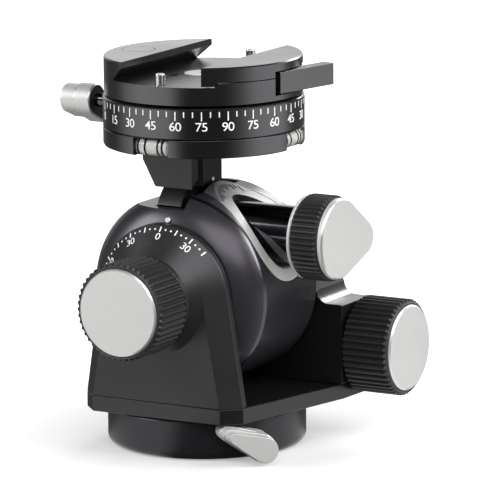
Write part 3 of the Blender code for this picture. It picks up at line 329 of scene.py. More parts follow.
finishes = {  # grain moves the colour from dark to light, patches move the roughness over its range
    "anodisedBlack": dict(dark=(0.125, 0.125, 0.131), light=(0.165, 0.165, 0.172), roughness=(0.23, 0.28),
                          bump=0.07),
    "anodisedPlate": dict(dark=(0.046, 0.046, 0.048), light=(0.060, 0.060, 0.062), roughness=(0.23, 0.29),
                          metallic=0.85, bump=0.1),
    "uprightBlack": dict(dark=(0.040, 0.040, 0.042), light=(0.056, 0.056, 0.059), roughness=(0.34, 0.42),
                         metallic=0.7),
    "drumBlack": dict(dark=(0.050, 0.047, 0.055), light=(0.064, 0.060, 0.070), roughness=(0.27, 0.33),
                      metallic=0.6),
    # a lighter copy of the drum black, for the painted highlight line round the drum
    "drumLineHighlight": dict(dark=(0.105, 0.100, 0.110), light=(0.130, 0.124, 0.136), roughness=(0.26, 0.32)),
    # lighter and darker copies of the housing black: painted highlight on its fillet and ledge, painted shade
    # on its walls
    "housingSheenTop": dict(dark=(0.16, 0.155, 0.15), light=(0.20, 0.195, 0.19), roughness=(0.26, 0.34)),
    "housingShadeWall": dict(dark=(0.022, 0.021, 0.023), light=(0.032, 0.031, 0.033), roughness=(0.34, 0.42),
                      metallic=0.7),
    "tubeBlack": dict(dark=(0.102, 0.105, 0.118), light=(0.118, 0.121, 0.134), roughness=(0.10, 0.13),
                      bump=0.02),
    # a lighter copy of the anodised black, for the painted highlight on the fixed jaw's top
    "jawTopSheen": dict(dark=(0.25, 0.25, 0.25), light=(0.31, 0.31, 0.31), roughness=(0.26, 0.32), bump=0.07),
    "baseBlack": dict(dark=(0.036, 0.034, 0.039), light=(0.048, 0.045, 0.051), roughness=(0.24, 0.30),
                      metallic=0.7),
    "neckBlack": dict(dark=(0.030, 0.030, 0.032), light=(0.042, 0.042, 0.044), roughness=(0.28, 0.34),
                      metallic=0.8),
    "edgeSheen": dict(dark=(0.17, 0.17, 0.175), light=(0.22, 0.22, 0.225), roughness=(0.26, 0.34), bump=0.1),
    "leverGrey": dict(dark=(0.145, 0.145, 0.148), light=(0.185, 0.185, 0.188), roughness=(0.30, 0.38)),
    "blastedSilver": dict(dark=(0.58, 0.585, 0.57), light=(0.69, 0.695, 0.68), roughness=(0.44, 0.54),
                          metallic=0.4),
    "rimSilver": dict(dark=(0.78, 0.78, 0.77), roughness=(0.30, 0.38), metallic=0.8, bump=0.1, scale=3000.0),
    "polishedSteel": dict(dark=(0.72, 0.72, 0.71), roughness=(0.20, 0.28), bump=0.1, scale=1800.0),
    "polishedBrass": dict(dark=(0.50, 0.35, 0.16), roughness=(0.26, 0.36), bump=0.15, scale=1800.0),
    "oiledBronze": dict(dark=(0.060, 0.042, 0.026), light=(0.095, 0.066, 0.040), roughness=(0.34, 0.44)),
    "gripRubber": dict(dark=(0.012, 0.012, 0.013), light=(0.026, 0.026, 0.027), roughness=(0.42, 0.56),
                       metallic=0.0, bump=0.5, scale=5200.0),
    # darker rubber for the painted shade deep in the knob grooves
    "paintedGrooveShade": dict(dark=(0.004, 0.004, 0.004), light=(0.009, 0.009, 0.009), roughness=(0.62, 0.76),
                         metallic=0.0, bump=0.4, scale=5200.0),
    "whitePaint": dict(dark=(0.95, 0.95, 0.93), roughness=(0.45, 0.55), metallic=0.0, bump=0.15,
                       scale=6000.0),
    "blackPaint": dict(dark=(0.003, 0.003, 0.003), roughness=(0.45, 0.55), metallic=0.0, bump=0.15,
                       scale=6000.0, shine=0.1),
    "vialLiquid": dict(dark=(1.0, 1.0, 0.96), roughness=(0.45, 0.55), metallic=0.0, bump=0.15, scale=6000.0),
}
finish = {name: grained(name, **values) for name, values in finishes.items()}

saddleLook = {
    "blue": ((0.13, 0.138, 0.146), (0.19, 0.20, 0.208)), "roughness": (0.44, 0.54), "metallic": 0.2,
    "bump": 0.3, "scale": 2600.0, "stretch": (0.05, 1, 1),
    # the silver's two colours are a painted shading ramp, light low down and dark just under the scale
    "silver": ((0.76, 0.77, 0.75), (0.36, 0.365, 0.355)),  # low down, and just under the scale
    "silverShadeHeights": (0.052, 0.077), "blueFrom": (0.0772, 0.0776),  # metres
}


def makeFacetBlue():
    # blue grey round the scale, brushed silver further down the slope, painted lighter low down and darker
    # just under the scale as painted shading
    look = saddleLook
    material, tree, shader = newMaterial("facetBlue", look["blue"][0], look["roughness"][0], look["metallic"])
    grain = addGrain(tree, shader, look["scale"], look["stretch"], look["bump"], look["roughness"],
                     look["blue"])
    place, split = several(tree, "TexCoord", "SeparateXYZ")
    height, silverShade = ranged(tree, *look["blueFrom"], smooth=True), ranged(tree, *look["silverShadeHeights"])
    silver, pick = blended(tree, *look["silver"]), blended(tree, *look["silver"])
    wire(tree, (place, "Object", split, 0), (split, "Z", silverShade, "Value"), (split, "Z", height, "Value"),
         (silverShade, "Result", silver, 0), (height, "Result", pick, 0), (silver, 2, pick, 6),
         (grain, 2, pick, 7), (pick, 2, shader, "Base Color"))
    return material


clearLook = {"colour": (1.0, 1.0, 1.0), "roughness": 0.03, "clear": 0.92, "ior": 1.45}


def clearAcrylic():
    material, _, shader = newMaterial("vialAcrylic", clearLook["colour"], clearLook["roughness"], 0.0)
    shader.inputs["Transmission Weight"].default_value = clearLook["clear"]
    shader.inputs["IOR"].default_value = clearLook["ior"]
    return material


finish["facetBlue"], finish["vialAcrylic"] = makeFacetBlue(), clearAcrylic()
print("materials made")


# outlines
def teardrop(big, radius, small, smallRadius, count):
    # outline round a large and a small circle, in evenly spaced points
    reach = hypot(small[0] - big[0], small[1] - big[1])
    heading = atan2(small[1] - big[1], small[0] - big[0])
    opening = acos((radius - smallRadius) / reach)
    side = sqrt(reach ** 2 - (radius - smallRadius) ** 2)
    legs = [2 * (pi - opening) * radius, side, 2 * opening * smallRadius, side]

    def at(centre, r, t):
        return Vector((centre[0] + r * cos(t), centre[1] + r * sin(t)))

    points = []
    for i in range(count):
        along, leg = sum(legs) * i / count, 0
        while along > legs[leg]:
            along -= legs[leg]
            leg += 1
        share = along / legs[leg]
        if leg == 0:
            spot = at(big, radius, heading + opening + share * 2 * (pi - opening))
        elif leg == 2:
            spot = at(small, smallRadius, heading - opening + share * 2 * opening)
        elif leg == 1:
            spot = at(big, radius, heading - opening).lerp(at(small, smallRadius, heading - opening), share)
        else:
            spot = at(small, smallRadius, heading + opening).lerp(at(big, radius, heading + opening), share)
        points.append((spot.x, spot.y))
    return points


def inset(outline, depth):
    # every point moved inwards along its normal, by one depth or by its own
    count = len(outline)
    depths = depth if isinstance(depth, list) else [depth] * count
    moved = []
    for i, (x, y) in enumerate(outline):
        x0, y0 = outline[i - 1]
        x1, y1 = outline[(i + 1) % count]
        length = hypot(x1 - x0, y1 - y0) or 1
        moved.append((x - (y1 - y0) / length * depths[i], y + (x1 - x0) / length * depths[i]))
    return moved


def atHeight(outline, z):
    return [(x, y, z) for x, y in outline]


def tangentAngle(side, height, crown):
    # degrees from level at which a straight side from this point meets the round crown
    drop = height - rollHeight
    return degrees(atan2(drop, side) + acos(crown / hypot(side, drop)))


# base: disc with a rounded lower edge and the thread insert. Profiles are (radius, height)
base = {
    "radius": 30.8, "round": 2.6, "bore": 12.3, "edge": 0.15,
    "top": [(30.8, 11.8), (30.4, 12.2), (16.3, 12.2), (16.3, 4.0), (12.3, 4.0)],
    "insert": [(4.76, 0.4), (5.2, 0), (11.6, 0), (12.0, 0.4), (12.0, 3.0), (7.5, 3.0), (7.5, 9.0), (6.0, 9.0),
               (6.0, 8.0), (4.76, 8.0)],
}


def makeBase():
    turn = arc((base["radius"] - base["round"], base["round"]), base["round"], -90, 0, 10)
    disc = lathe("baseDisc", [(base["bore"], 0)] + turn + base["top"], 180)
    finishPiece(soften(disc, base["edge"]), "root", "baseBlack", ["base_disc"])
    insert = lathe("threadInsert", base["insert"], 96)
    finishPiece(insert, "root", "polishedBrass", ["thread_insert"])


lever = {
    "start": 31.3, "overlap": 0.4, "edge": (0.2, 3), "heading": -45,
    "layers": [  # depth, small end, big end
        (5.5, (-3.2, 9.7, 2.5), (6.9, 5.0, 4.3)),
        (2.3, (-2.9, 9.5, 2.05), (7.1, 5.0, 4.3)),
        (3.3, (-2.6, 9.3, 1.6), (7.2, 5.0, 4.0)),
    ],
    "screwRadius": 1.9, "screwSpan": (24.0, 37.5), "screwCentre": (2.0, 5.9),
}


def makeBaseLever():
    out, parts = lever["start"], []
    for i, (depth, small, big) in enumerate(lever["layers"]):
        outline = teardrop(big[:2], big[2], small[:2], small[2], 96)
        layer = plate("leverLayer", outline, out - (lever["overlap"] if i else 0), out + depth)
        parts.append(soften(layer, *lever["edge"]))
        out += depth
    screw = bar("leverScrewHead", lever["screwRadius"], *lever["screwSpan"], "Z", lever["screwCentre"], 48)
    parts.append(screw)
    piece = joinAll("baseLever", parts)
    # drawn lying down; stood up on its radial screw
    c, s = cos(radians(lever["heading"])), sin(radians(lever["heading"]))
    piece.data.transform(Matrix(((-s, 0, c, 0), (c, 0, s, 0), (0, 1, 0, 0), (0, 0, 0, 1))))
    finishPiece(piece, "base_lever", "blastedSilver", ["base_lock_lever"])


makeBase()
makeBaseLever()
print("base made")

# yoke: plate, front upright with its boss, rear housing
basePlate = {
    "outline": [(-22.66, -30.86), (22.66, -30.86), (27.76, -25.76), (37.9, 19.5), (38.6, 32.5), (35.6, 35.5),
                (-26.6, 35.5), (-29.6, 32.5), (-29.6, 0), (-27.76, -25.76)],
    "bottom": 12.5, "top": 17.4, "edge": (0.3, 3, 20),
}
upright = {
    "foot": 17.45, "wide": (27.76, 22.6), "narrow": (22.66, 16.6),  # half width at the foot, crown radius
    "back": -23.46, "chamfer": -25.76, "front": -30.86, "bore": 11.3, "boreSpan": (-40, -10),
    "edge": (0.28, 3, 25),
    "boss": [(11.3, -29.5), (17.2, -29.5), (17.2, -30.42), (13.8, -33.3), (13.6, -33.6), (13.6, -35.0),
             (13.3, -35.3), (11.3, -35.3)],
}
housing = {
    "foot": 17.45, "half": 29.6, "crown": 21.6, "front": 17.4, "back": 35.5, "edge": (0.4, 3, 30),
    "filletCentre": (33.6, 46.5), "fillet": 4.0, "armRight": 38.5, "armTop": 42.5,
    "tunnel": (4.8, 20, 45), "tunnelCentre": (29.0, 28.9), "coverSeat": (18.8, 33.3, 40),
    "cover": [(2.9, 33.6), (18.5, 33.6), (18.5, 35.2), (18.2, 35.5), (2.9, 35.5)],
    "sheenAbove": 42.3, "sheenRightOf": 28.6,
}


def makePlate():
    piece = plate("basePlate", basePlate["outline"], basePlate["bottom"], basePlate["top"])
    finishPiece(soften(piece, *basePlate["edge"]), "yoke", "anodisedPlate", ["base_plate"])


def uprightOutline(half, crown):
    start = tangentAngle(half, upright["foot"], crown)
    crownPoints = arc(rollAxis, crown, start, 180 - start, 97)
    return [(half, upright["foot"])] + crownPoints + [(-half, upright["foot"])]


def makeUpright():
    wide, narrow = uprightOutline(*upright["wide"]), uprightOutline(*upright["narrow"])
    # drawn in x, z with y as the height
    loops = [atHeight(wide, upright["back"]), atHeight(wide, upright["chamfer"]),
             atHeight(narrow, upright["front"])]
    piece = lay(stack("frontUpright", loops), "Y")
    cut(piece, bar("bore", upright["bore"], *upright["boreSpan"], "Y", rollAxis, 96))
    soften(piece, *upright["edge"])
    # the turned cone runs on past the flat face, up to the drive knob
    boss = lay(lathe("boss", upright["boss"], 160), "Y", rollAxis)
    piece = joinAll("frontUpright", [piece, boss])
    finishPiece(piece, "yoke", "uprightBlack", ["front_upright", "front_bush"], 25)


def makeHousing():
    h = housing
    left = tangentAngle(h["half"], h["foot"], h["crown"])
    right = tangentAngle(h["half"], h["filletCentre"][1], h["crown"])
    outline = [(-h["half"], h["foot"])] + arc(rollAxis, h["crown"], 180 - left, right, 97)
    outline += arc(h["filletCentre"], h["fillet"], 180, 270, 14)
    outline += [(h["armRight"], h["armTop"]), (h["armRight"], h["foot"])]
    piece = lay(plate("rearHousing", outline, h["front"], h["back"]), "Y")
    cut(piece, bar("tunnel", *h["tunnel"], "X", h["tunnelCentre"], 64))
    cut(piece, bar("coverSeat", *h["coverSeat"], "Y", rollAxis, 96))
    soften(piece, *h["edge"])
    # painted light and shade: the fillet and the ledge get a lighter black as a painted highlight, the other
    # walls, the front and back faces and the fillet's left end a darker black as painted shade
    paintFaces(piece, "housingShadeWall", lambda face: face.center.z < h["sheenAbove"]
               or face.center.x < h["sheenRightOf"] or abs(face.normal.y) > 0.9)
    finishPiece(piece, "yoke", "housingSheenTop", ["rear_housing"], 25)
    cover = lay(lathe("rearCover", h["cover"], 96), "Y", rollAxis)
    finishPiece(cover, "yoke", "uprightBlack", ["rear_cover"])


makePlate()
makeUpright()
makeHousing()
print("yoke made")

# drum, with the saddle and the lock tube let into its side
drum = {
    "dome": [(22.3, -22.7), (26.9, -20.8), (29.75, -16.3)],  # rim of the face, pull, foot of the dome
    "corner": [(30.3, -14.7), (30.22, -15.3), (30.02, -15.8)],
    "back": [(0, 16.8), (29.3, 16.8), (30.3, 15.9)], "front": -22.7,
    "cavity": (18.8, 184, 34), "cavityInner": (13.2, 34, -176), "cavitySpan": (-8.0, 4.5),
    "notch": (-40, 4.3, -40, 12.4, 75.5, 90), "saddleSeat": (14.7, 3.9, 40), "trunnionSeat": (10.8, -30, -18),
    "edge": (0.22, 2, 35), "line": (-16.4, -15.0), "highlightLineRadius": 29.5,
}
saddle = {
    "radius": 30.3, "inner": 4.2, "drop": 15.1, "half": 16,
    "slope": 32, "end": 11.4,  # slope of the flat, and how far out it runs
    "rim": (14.4, 3, 32), "pocket": (10.7, 8.5, 40), "edge": (0.18, 2, 35),
    "tube": [(0, 8.6), (8.9, 8.6), (8.9, 35.0), (8.5, 35.4), (0, 35.4)],
}


def makeDrum():
    rim, pull, foot = (Vector(point) for point in drum["dome"])
    curve = [foot.lerp(pull, t).lerp(pull.lerp(rim, t), t) for t in [i / 16 for i in range(17)]]
    profile = drum["back"] + drum["corner"] + [tuple(point) for point in curve] + [(0, drum["front"])]
    piece = lay(lathe("rollDrum", profile, 192), "Y", rollAxis)
    outline = arc(pitchAxis, *drum["cavity"], 48) + arc(pitchAxis, *drum["cavityInner"], 48)
    cut(piece, lay(plate("cavity", outline, *drum["cavitySpan"]), "X"))
    cut(piece, block("notch", *drum["notch"]))
    cut(piece, bar("saddleSeat", *drum["saddleSeat"], "X", pitchAxis, 128))
    cut(piece, bar("trunnionSeat", *drum["trunnionSeat"], "Y", rollAxis, 96))
    soften(piece, *drum["edge"])
    # painted highlight: a thin paler line of faces where the dome meets the barrel, standing in for the light
    # caught on that corner
    front, back = drum["line"]
    paintFaces(piece, "drumLineHighlight", lambda face: front < face.center.y < back
               and hypot(face.center.x, face.center.z - rollHeight) > drum["highlightLineRadius"])
    finishPiece(piece, "drum", "drumBlack", ["drum_shell"], 25)


def facetHeight(x):
    foot = rollHeight + sqrt(saddle["radius"] ** 2 - saddle["end"] ** 2)
    return foot + (saddle["end"] - x) * tan(radians(saddle["slope"]))


def makeSaddle():
    side = arc(rollAxis, saddle["radius"], -30, degrees(acos(saddle["end"] / saddle["radius"])), 60)
    inner = saddle["inner"]
    outline = [(inner, facetHeight(inner)), (inner, rollHeight - saddle["drop"])] + side
    piece = lay(plate("saddle", outline, -saddle["half"], saddle["half"]), "Y")
    cut(piece, bar("rim", *saddle["rim"], "X", pitchAxis, 144), "INTERSECT")
    cut(piece, bar("pocket", *saddle["pocket"], "X", pitchAxis, 128))
    soften(piece, *saddle["edge"])
    finishPiece(piece, "drum", "facetBlue", ["saddle"], 25)
    tube = lay(lathe("lockTube", saddle["tube"], 128), "X", pitchAxis)
    finishPiece(tube, "drum", "tubeBlack", ["lock_tube"])


makeDrum()
makeSaddle()
print("drum made")

# knobs
roundKnob = {
    "radius": 15.05, "length": 15.5, "ridges": 46, "ridgeDepth": 0.8,
    "frontRings": [(1.25, 0.7), (1.0, 0.95)], "valleyRing": 1.1, "ridgesFrom": 1.7,  # inset and height
    "backRings": (0.3, 0.7), "backInset": 1.1,
    "cap": [(0, 0), (12.65, 0), (12.85, 0.03), (13.3, 0.48), (13.3, 1.6), (0, 1.6)],
}
tearKnob = {
    "radius": 13.2, "reach": 15.8, "tip": 6.0, "length": 9.4, "ridges": 54, "ridgeDepth": 0.75,
    "endInset": 0.9, "ridgesFrom": 0.5, "ridgesTo": 1.2, "valleyRings": (0.8, 0.3),  # from the outer end
    "capInset": 0.75, "capRings": [(0, 0), (0, 1.15), (0.14, 1.4), (0.5, 1.7)],  # inset and height
}
flange = [(2.9, 35.7), (12.6, 35.7), (12.9, 36.0), (12.9, 36.5), (12.7, 36.7), (2.9, 36.7)]
# the dark in the middle of each groove is painted shade
grooveShadeReach = 0.2  # how far from its middle a groove is dark
rimSlope = (0.2, 0.95)  # faces of a cap that lean this much are its polished rim


def ridgeDepths(knob):
    # trapezoid ridges: two points on the crest, two in the valley
    return [0, 0, knob["ridgeDepth"], knob["ridgeDepth"]] * knob["ridges"]


def shadeGrooves(grip, outline):
    # a second, darker rubber on the faces that lie nearest the middle of a valley: painted shade in the
    # grooves
    middles = KDTree(len(outline) // 2)
    for i in range(0, len(outline), 2):
        (x0, y0), (x1, y1) = outline[i], outline[i + 1]
        middles.insert(((x0 + x1) / 2, (y0 + y1) / 2, 0), i)
    middles.balance()
    grip.data.materials.append(finish["gripRubber"])
    grip.data.materials.append(finish["paintedGrooveShade"])
    for face in grip.data.polygons:
        if abs(face.normal.z) < 0.5:
            _, which, away = middles.find((face.center.x, face.center.y, 0))
            face.material_index = int(which % 4 == 2 and away < grooveShadeReach)


def dressKnob(grip, cap, axis, centre, start, sign, body, nodes):
    # grip and cap, drawn along Z, go to their axis; the cap gets a polished rim
    for piece, look, slotName, node in ((grip, "gripRubber", "black_rubber", nodes[0]),
                                        (cap, "blastedSilver", "silver_blasted", nodes[1])):
        piece.data.transform(Matrix.Translation((0, 0, start)) @ Matrix.Diagonal((1, 1, sign, 1)))
        if sign < 0:
            piece.data.flip_normals()
        lay(piece, axis, centre)
        finishPiece(piece, body, look, [node], 28)
    along = "XYZ".index(axis)
    paintFaces(cap, "rimSilver", lambda face: rimSlope[0] < abs(face.normal[along]) < rimSlope[1])


def makeRoundKnob(name, axis, centre, face, sign, body, nodes):
    # drawn with its cap face at height 0, growing inwards
    knob, radius, length = roundKnob, roundKnob["radius"], roundKnob["length"]
    count = knob["ridges"] * 4
    ridged = inset(circle(radius, count), ridgeDepths(knob))
    loops = [atHeight(circle(radius - by, count), height) for by, height in knob["frontRings"]]
    loops += [atHeight(circle(radius - knob["ridgeDepth"], count), knob["valleyRing"]),
              atHeight(ridged, knob["ridgesFrom"]), atHeight(ridged, length + knob["backRings"][0]),
              atHeight(circle(radius - knob["backInset"], count), length + knob["backRings"][1])]
    grip = stack(name + "Grip", loops)
    shadeGrooves(grip, ridged)
    dressKnob(grip, lathe(name + "Cap", knob["cap"], 144), axis, centre, face, sign, body, nodes)


def makeTearKnob(name, axis, centre, start, heading, body, nodes):
    # drawn with its inner face at height 0, growing outwards
    knob, radius, length, turn = tearKnob, tearKnob["radius"], tearKnob["length"], radians(heading)
    small = (knob["reach"] * cos(turn), knob["reach"] * sin(turn))
    outline = teardrop((0, 0), radius, small, knob["tip"], knob["ridges"] * 4)
    ridged, ends = inset(outline, ridgeDepths(knob)), inset(outline, knob["endInset"])
    loops = [atHeight(ends, 0), atHeight(ridged, knob["ridgesFrom"]),
             atHeight(ridged, length - knob["ridgesTo"])]
    loops += [atHeight(inset(outline, knob["ridgeDepth"]), length - back) for back in knob["valleyRings"]]
    grip = stack(name + "Grip", loops + [atHeight(ends, length)])
    shadeGrooves(grip, ridged)
    capLine = inset(teardrop((0, 0), radius, small, knob["tip"], 144), knob["capInset"])
    cap = stack(name + "Cap", [atHeight(inset(capLine, by), length + up) for by, up in knob["capRings"]])
    dressKnob(grip, cap, axis, centre, start, 1, body, nodes)


def makeKnobs():
    makeRoundKnob("pitchKnob", "Y", rollAxis, -52.8, 1, "pitch_knob", ("pitch_knob_grip", "pitch_knob_cap"))
    makeRoundKnob("rollKnob", "X", (29.0, 28.7), 56.1, -1, "roll_knob", ("roll_knob_grip", "roll_knob_cap"))
    makeTearKnob("pitchLock", "X", pitchAxis, 36.9, -8, "pitch_lock", ("pitch_lock_grip", "pitch_lock_cap"))
    makeTearKnob("rollLock", "Y", rollAxis, 35.8, -60, "roll_lock", ("roll_lock_grip", "roll_lock_cap"))
    ring = lay(lathe("pitchLockFlange", flange, 128), "X", pitchAxis)
    finishPiece(ring, "pitch_lock", "blastedSilver", ["pitch_lock_flange"])


makeKnobs()
print("knobs made")

# neck under the turntable
neck = {
    # height, reach to the left
    "sections": [(80.6, 7.1), (81.2, 7.1), (81.5, 10.2), (89.0, 14.4), (93.3, 14.4)],
    "right": [(0.4, -8.3), (3.0, -5.7), (3.0, 5.65)], "front": -8.3, "back": 5.65, "edge": (0.2, 2),
    "shield": (18.5, 152, 68), "shieldInner": (13.2, 68, 152), "shieldSpan": (-7.4, 1.0),
    "hub": (12.2, -7.4, -4.1), "web": (-7.4, -4.1, -5.6, 5.6, 76, 84),
    "plate": [(3.0, 80.0), (3.0, 93.3), (-14.4, 93.3), (-14.4, 89.0), (-10.0, 80.8), (-7.8, 80.0)],
    "plateSpan": (-12.9, -9.0), "plateClear": (18.8, -20, 10),
}


def makeNeck():
    loops = [atHeight([(-left, neck["back"]), (-left, neck["front"])] + neck["right"], z)
             for z, left in neck["sections"]]
    column = soften(stack("neckColumn", loops), *neck["edge"])
    sector = arc(pitchAxis, *neck["shield"], 49) + arc(pitchAxis, *neck["shieldInner"], 49)
    shield = soften(lay(plate("neckShield", sector, *neck["shieldSpan"]), "X"), *neck["edge"])
    hub = bar("neckHub", *neck["hub"], "X", pitchAxis, 96)
    web = soften(block("neckWeb", *neck["web"]), *neck["edge"])
    piece = joinAll("neck", [column, shield, hub, web])
    finishPiece(piece, "tilt", "neckBlack", ["neck"])
    front = lay(plate("neckFront", neck["plate"], *neck["plateSpan"]), "Y")
    cut(front, bar("shieldClear", *neck["plateClear"], "X", pitchAxis, 144))
    finishPiece(soften(front, *neck["edge"]), "tilt", "anodisedPlate", ["neck_front_plate"])


makeNeck()
print("neck made")

# level ring, its vials and the graduated ring
rings = {
    "level": [(0, 93.2), (30.1, 93.2), (30.7, 93.45), (31.0, 94.1), (31.0, 98.75), (30.8, 98.95), (0, 98.95)],
    "frontWindow": (-7.35, 5.35, -40, -24.7, 90, 98.9), "sideWindow": (24.4, 40, -2.85, 9.85, 90, 98.9),
    "edge": (0.15, 2, 40),
    "graduated": [(16.0, 99.2), (30.85, 99.2), (31.0, 99.35), (31.0, 108.2), (30.6, 108.6), (16.0, 108.6)],
    "lockHole": (2.3, -40, -14),
}
vial = {
    "radius": 2.75, "length": 12.4, "height": 96.1, "edge": (0.25, 3),
    "front": (-27.55, -1.0), "side": (27.25, 3.5),
    "coreInset": 0.15, "coreShort": 1.0, "coreEdge": (0.4, 3),
    "lines": (-5.7, -4.6, -2.2, 2.2, 3.8), "lineHalf": 0.3, "lineSunk": 0.06, "lineProud": 0.05,
    "bubble": (1.5, 0.8, 0.55), "bubbleUp": 1.35,  # half length, half width, half height
}
lockHeight = 103.8  # of the pan lock's axis


def makeVial(name, axis, away, middle, node):
    # clear tube round a pale core, with black gauge lines and a bubble
    half, r, centre = vial["length"] / 2, vial["radius"], (away, vial["height"])
    tube = bar(name + "Tube", r, middle - half, middle + half, axis, centre, 64)
    finishPiece(soften(tube, *vial["edge"]), "tilt", "vialAcrylic", [node])
    short = half - vial["coreShort"]
    core = bar(name + "Core", r - vial["coreInset"], middle - short, middle + short, axis, centre, 48)
    finishPiece(soften(core, *vial["coreEdge"]), "tilt", "vialLiquid")
    lines = []
    inner, outer = r - vial["lineSunk"], r + vial["lineProud"]
    for place in vial["lines"]:
        low, high = middle + place - vial["lineHalf"], middle + place + vial["lineHalf"]
        gauge = lathe("gauge", [(inner, low), (outer, low), (outer, high), (inner, high)], 48)
        lines.append(lay(gauge, axis, centre))
    finishPiece(joinAll(name + "Lines", lines), "tilt", "blackPaint")
    startClean()
    bpy.ops.mesh.primitive_uv_sphere_add(segments=32, ring_count=16, radius=1.0)
    bubble = bpy.context.object
    bubble.name = bubble.data.name = name + "Bubble"
    long_, wide, tall = vial["bubble"]
    top = vial["height"] + vial["bubbleUp"]
    spot, shape = (middle, away, top), (long_, wide, tall, 1)
    if axis == "Y":
        spot, shape = (away, middle, top), (wide, long_, tall, 1)
    bubble.data.transform(Matrix.Translation(spot) @ Matrix.Diagonal(shape))
    finishPiece(bubble, "tilt", "whitePaint")


def makeRings():
    level = lathe("levelRing", rings["level"], 192)
    for window in ("frontWindow", "sideWindow"):
        cut(level, block(window, *rings[window]))
    finishPiece(soften(level, *rings["edge"]), "tilt", "anodisedBlack", ["level_ring"], 25)
    makeVial("frontVial", "X", *vial["front"], "level_vial_front")
    makeVial("sideVial", "Y", *vial["side"], "level_vial_side")
    graduated = lathe("graduatedRing", rings["graduated"], 192)
    cut(graduated, bar("lockHole", *rings["lockHole"], "X", (0, lockHeight), 48))
    finishPiece(graduated, "tilt", "anodisedBlack", ["graduated_ring"], 25)


makeRings()
print("rings made")

# clamp: body with the fixed jaw, moving jaw, flip lever, pins, centre screw
clamp = {
    "under": [(0, 109.15), (30.3, 109.15), (30.6, 109.45)], "rim": [(30.6, 120.6), (30.2, 121.0), (0, 121.0)],
    "reach": 40, "edge": (0.2, 2, 35),
    "channel": [(-13.0, 123), (-13.0, 119.1), (-17.1, 115.0), (18.2, 115.0), (18.2, 116.1), (40, 116.1),
                (40, 123)],
    "leverBay": [(22.2, -7.6), (40, -7.6), (40, 20.0), (27.4, 20.0), (27.4, 3.7), (22.2, 3.7)],
    "leverBaySpan": (110.9, 118.3),
    "screwSeat": [(0, 113.2), (6.3, 113.2), (6.3, 116), (0, 116)],
    "holes": [(1.0, -27.6, 1.8), (1.0, 27.6, 1.8), (-5.5, -8.5, 1.5)], "holeSpan": (110.6, 117),
    "lugs": (-12, 12), "lugPocket": (18.7, 26.3, 2.5, 111.0, 116.6),
    "ringMark": [(5.1, 120.85), (5.4, 120.85), (5.4, 122), (5.1, 122)], "markCentre": (-22.0, -2.0),
    "jawTop": 120.9,
}
jaw = {
    "section": [(14.8, 121.0), (14.8, 119.1), (17.5, 116.4), (40, 116.4), (40, 121.0)], "bottom": 115,
    "lip": (14.8, 19.0, -40, -23.6, 115.3, 121.0), "edge": (0.3, 3, 35),
    "leverBay": [(19.2, -7.6), (40, -7.6), (40, 20.0), (24.4, 20.0), (24.4, 3.7), (19.2, 3.7)],
    "leverBaySpan": (115, 118.3),
    "lug": (19.0, 23.0, 2.2, 111.4, 116.8), "rod": (1.3, 8.0, 19.5), "rodHeight": 112.4,
}
flipLever = {
    "hub": ((26.4, -0.5), 3.9, 64, 270, 40), "blade": [(30.4, -5.9), (35.8, 18.0), (31.7, 18.9)],
    "span": (111.3, 118.0), "edge": (0.35, 3, 30),
}
fittings = {
    "screw": [(0, 113.0), (6.0, 113.0), (6.0, 114.75), (5.75, 115.0), (0, 115.0)],
    "slot": (-1.7, 1.7, -0.75, 0.75, 113.7, 116), "screwEdge": (0.12, 2, 35),
    "pin": [(0, 113.4), (1.5, 113.4), (1.5, 118.15), (1.36, 118.45), (1.05, 118.6), (0, 118.6)],
    "pins": (("frontPin", (1.0, -27.6), "pin_front"), ("rearPin", (1.0, 27.6), "pin_rear")),
}


def lugBlock(name, side, values):
    left, right, half, low, high = values
    return block(name, left, right, side - half, side + half, low, high)


def makeClamp():
    body = lathe("clampBody", clamp["under"] + clamp["rim"], 192)
    cut(body, lay(plate("channel", clamp["channel"], -clamp["reach"], clamp["reach"]), "Y"))
    cut(body, plate("leverBay", clamp["leverBay"], *clamp["leverBaySpan"]))
    cut(body, lathe("screwSeat", clamp["screwSeat"], 96))
    for x, y, radius in clamp["holes"]:
        cut(body, bar("hole", radius, *clamp["holeSpan"], "Z", (x, y), 40))
    for side in clamp["lugs"]:
        cut(body, lugBlock("lugPocket", side, clamp["lugPocket"]))
    cut(body, lay(lathe("ringMark", clamp["ringMark"], 96), "Z", clamp["markCentre"]))
    soften(body, *clamp["edge"])
    # painted highlight: the fixed jaw's top faces get a much lighter copy of the black, standing in for the
    # light they catch
    paintFaces(body, "jawTopSheen", lambda face: face.normal.z > 0.95 and face.center.z > clamp["jawTop"])
    finishPiece(body, "turntable", "anodisedBlack", ["clamp_body"], 25)


def makeJaw():
    piece = lay(plate("movingJaw", jaw["section"], -clamp["reach"], clamp["reach"]), "Y")
    # a square lip closes the undercut at the front end
    cut(piece, block("jawLip", *jaw["lip"]), "UNION")
    disc = [(0, jaw["bottom"]), (clamp["rim"][0][0], jaw["bottom"])] + clamp["rim"]
    cut(piece, lathe("jawRound", disc, 192), "INTERSECT")
    cut(piece, plate("jawBay", jaw["leverBay"], *jaw["leverBaySpan"]))
    parts = [soften(piece, *jaw["edge"])]
    for side in clamp["lugs"]:
        parts.append(lugBlock("lug", side, jaw["lug"]))
        parts.append(bar("guideRod", *jaw["rod"], "X", (side, jaw["rodHeight"]), 32))
    finishPiece(joinAll("movingJaw", parts), "jaw", "anodisedBlack", ["moving_jaw"], 25)


def makeFlipLever():
    outline = flipLever["blade"] + arc(*flipLever["hub"])
    piece = soften(plate("flipLever", outline, *flipLever["span"]), *flipLever["edge"])
    finishPiece(piece, "flip_lever", "leverGrey", ["flip_lever"])


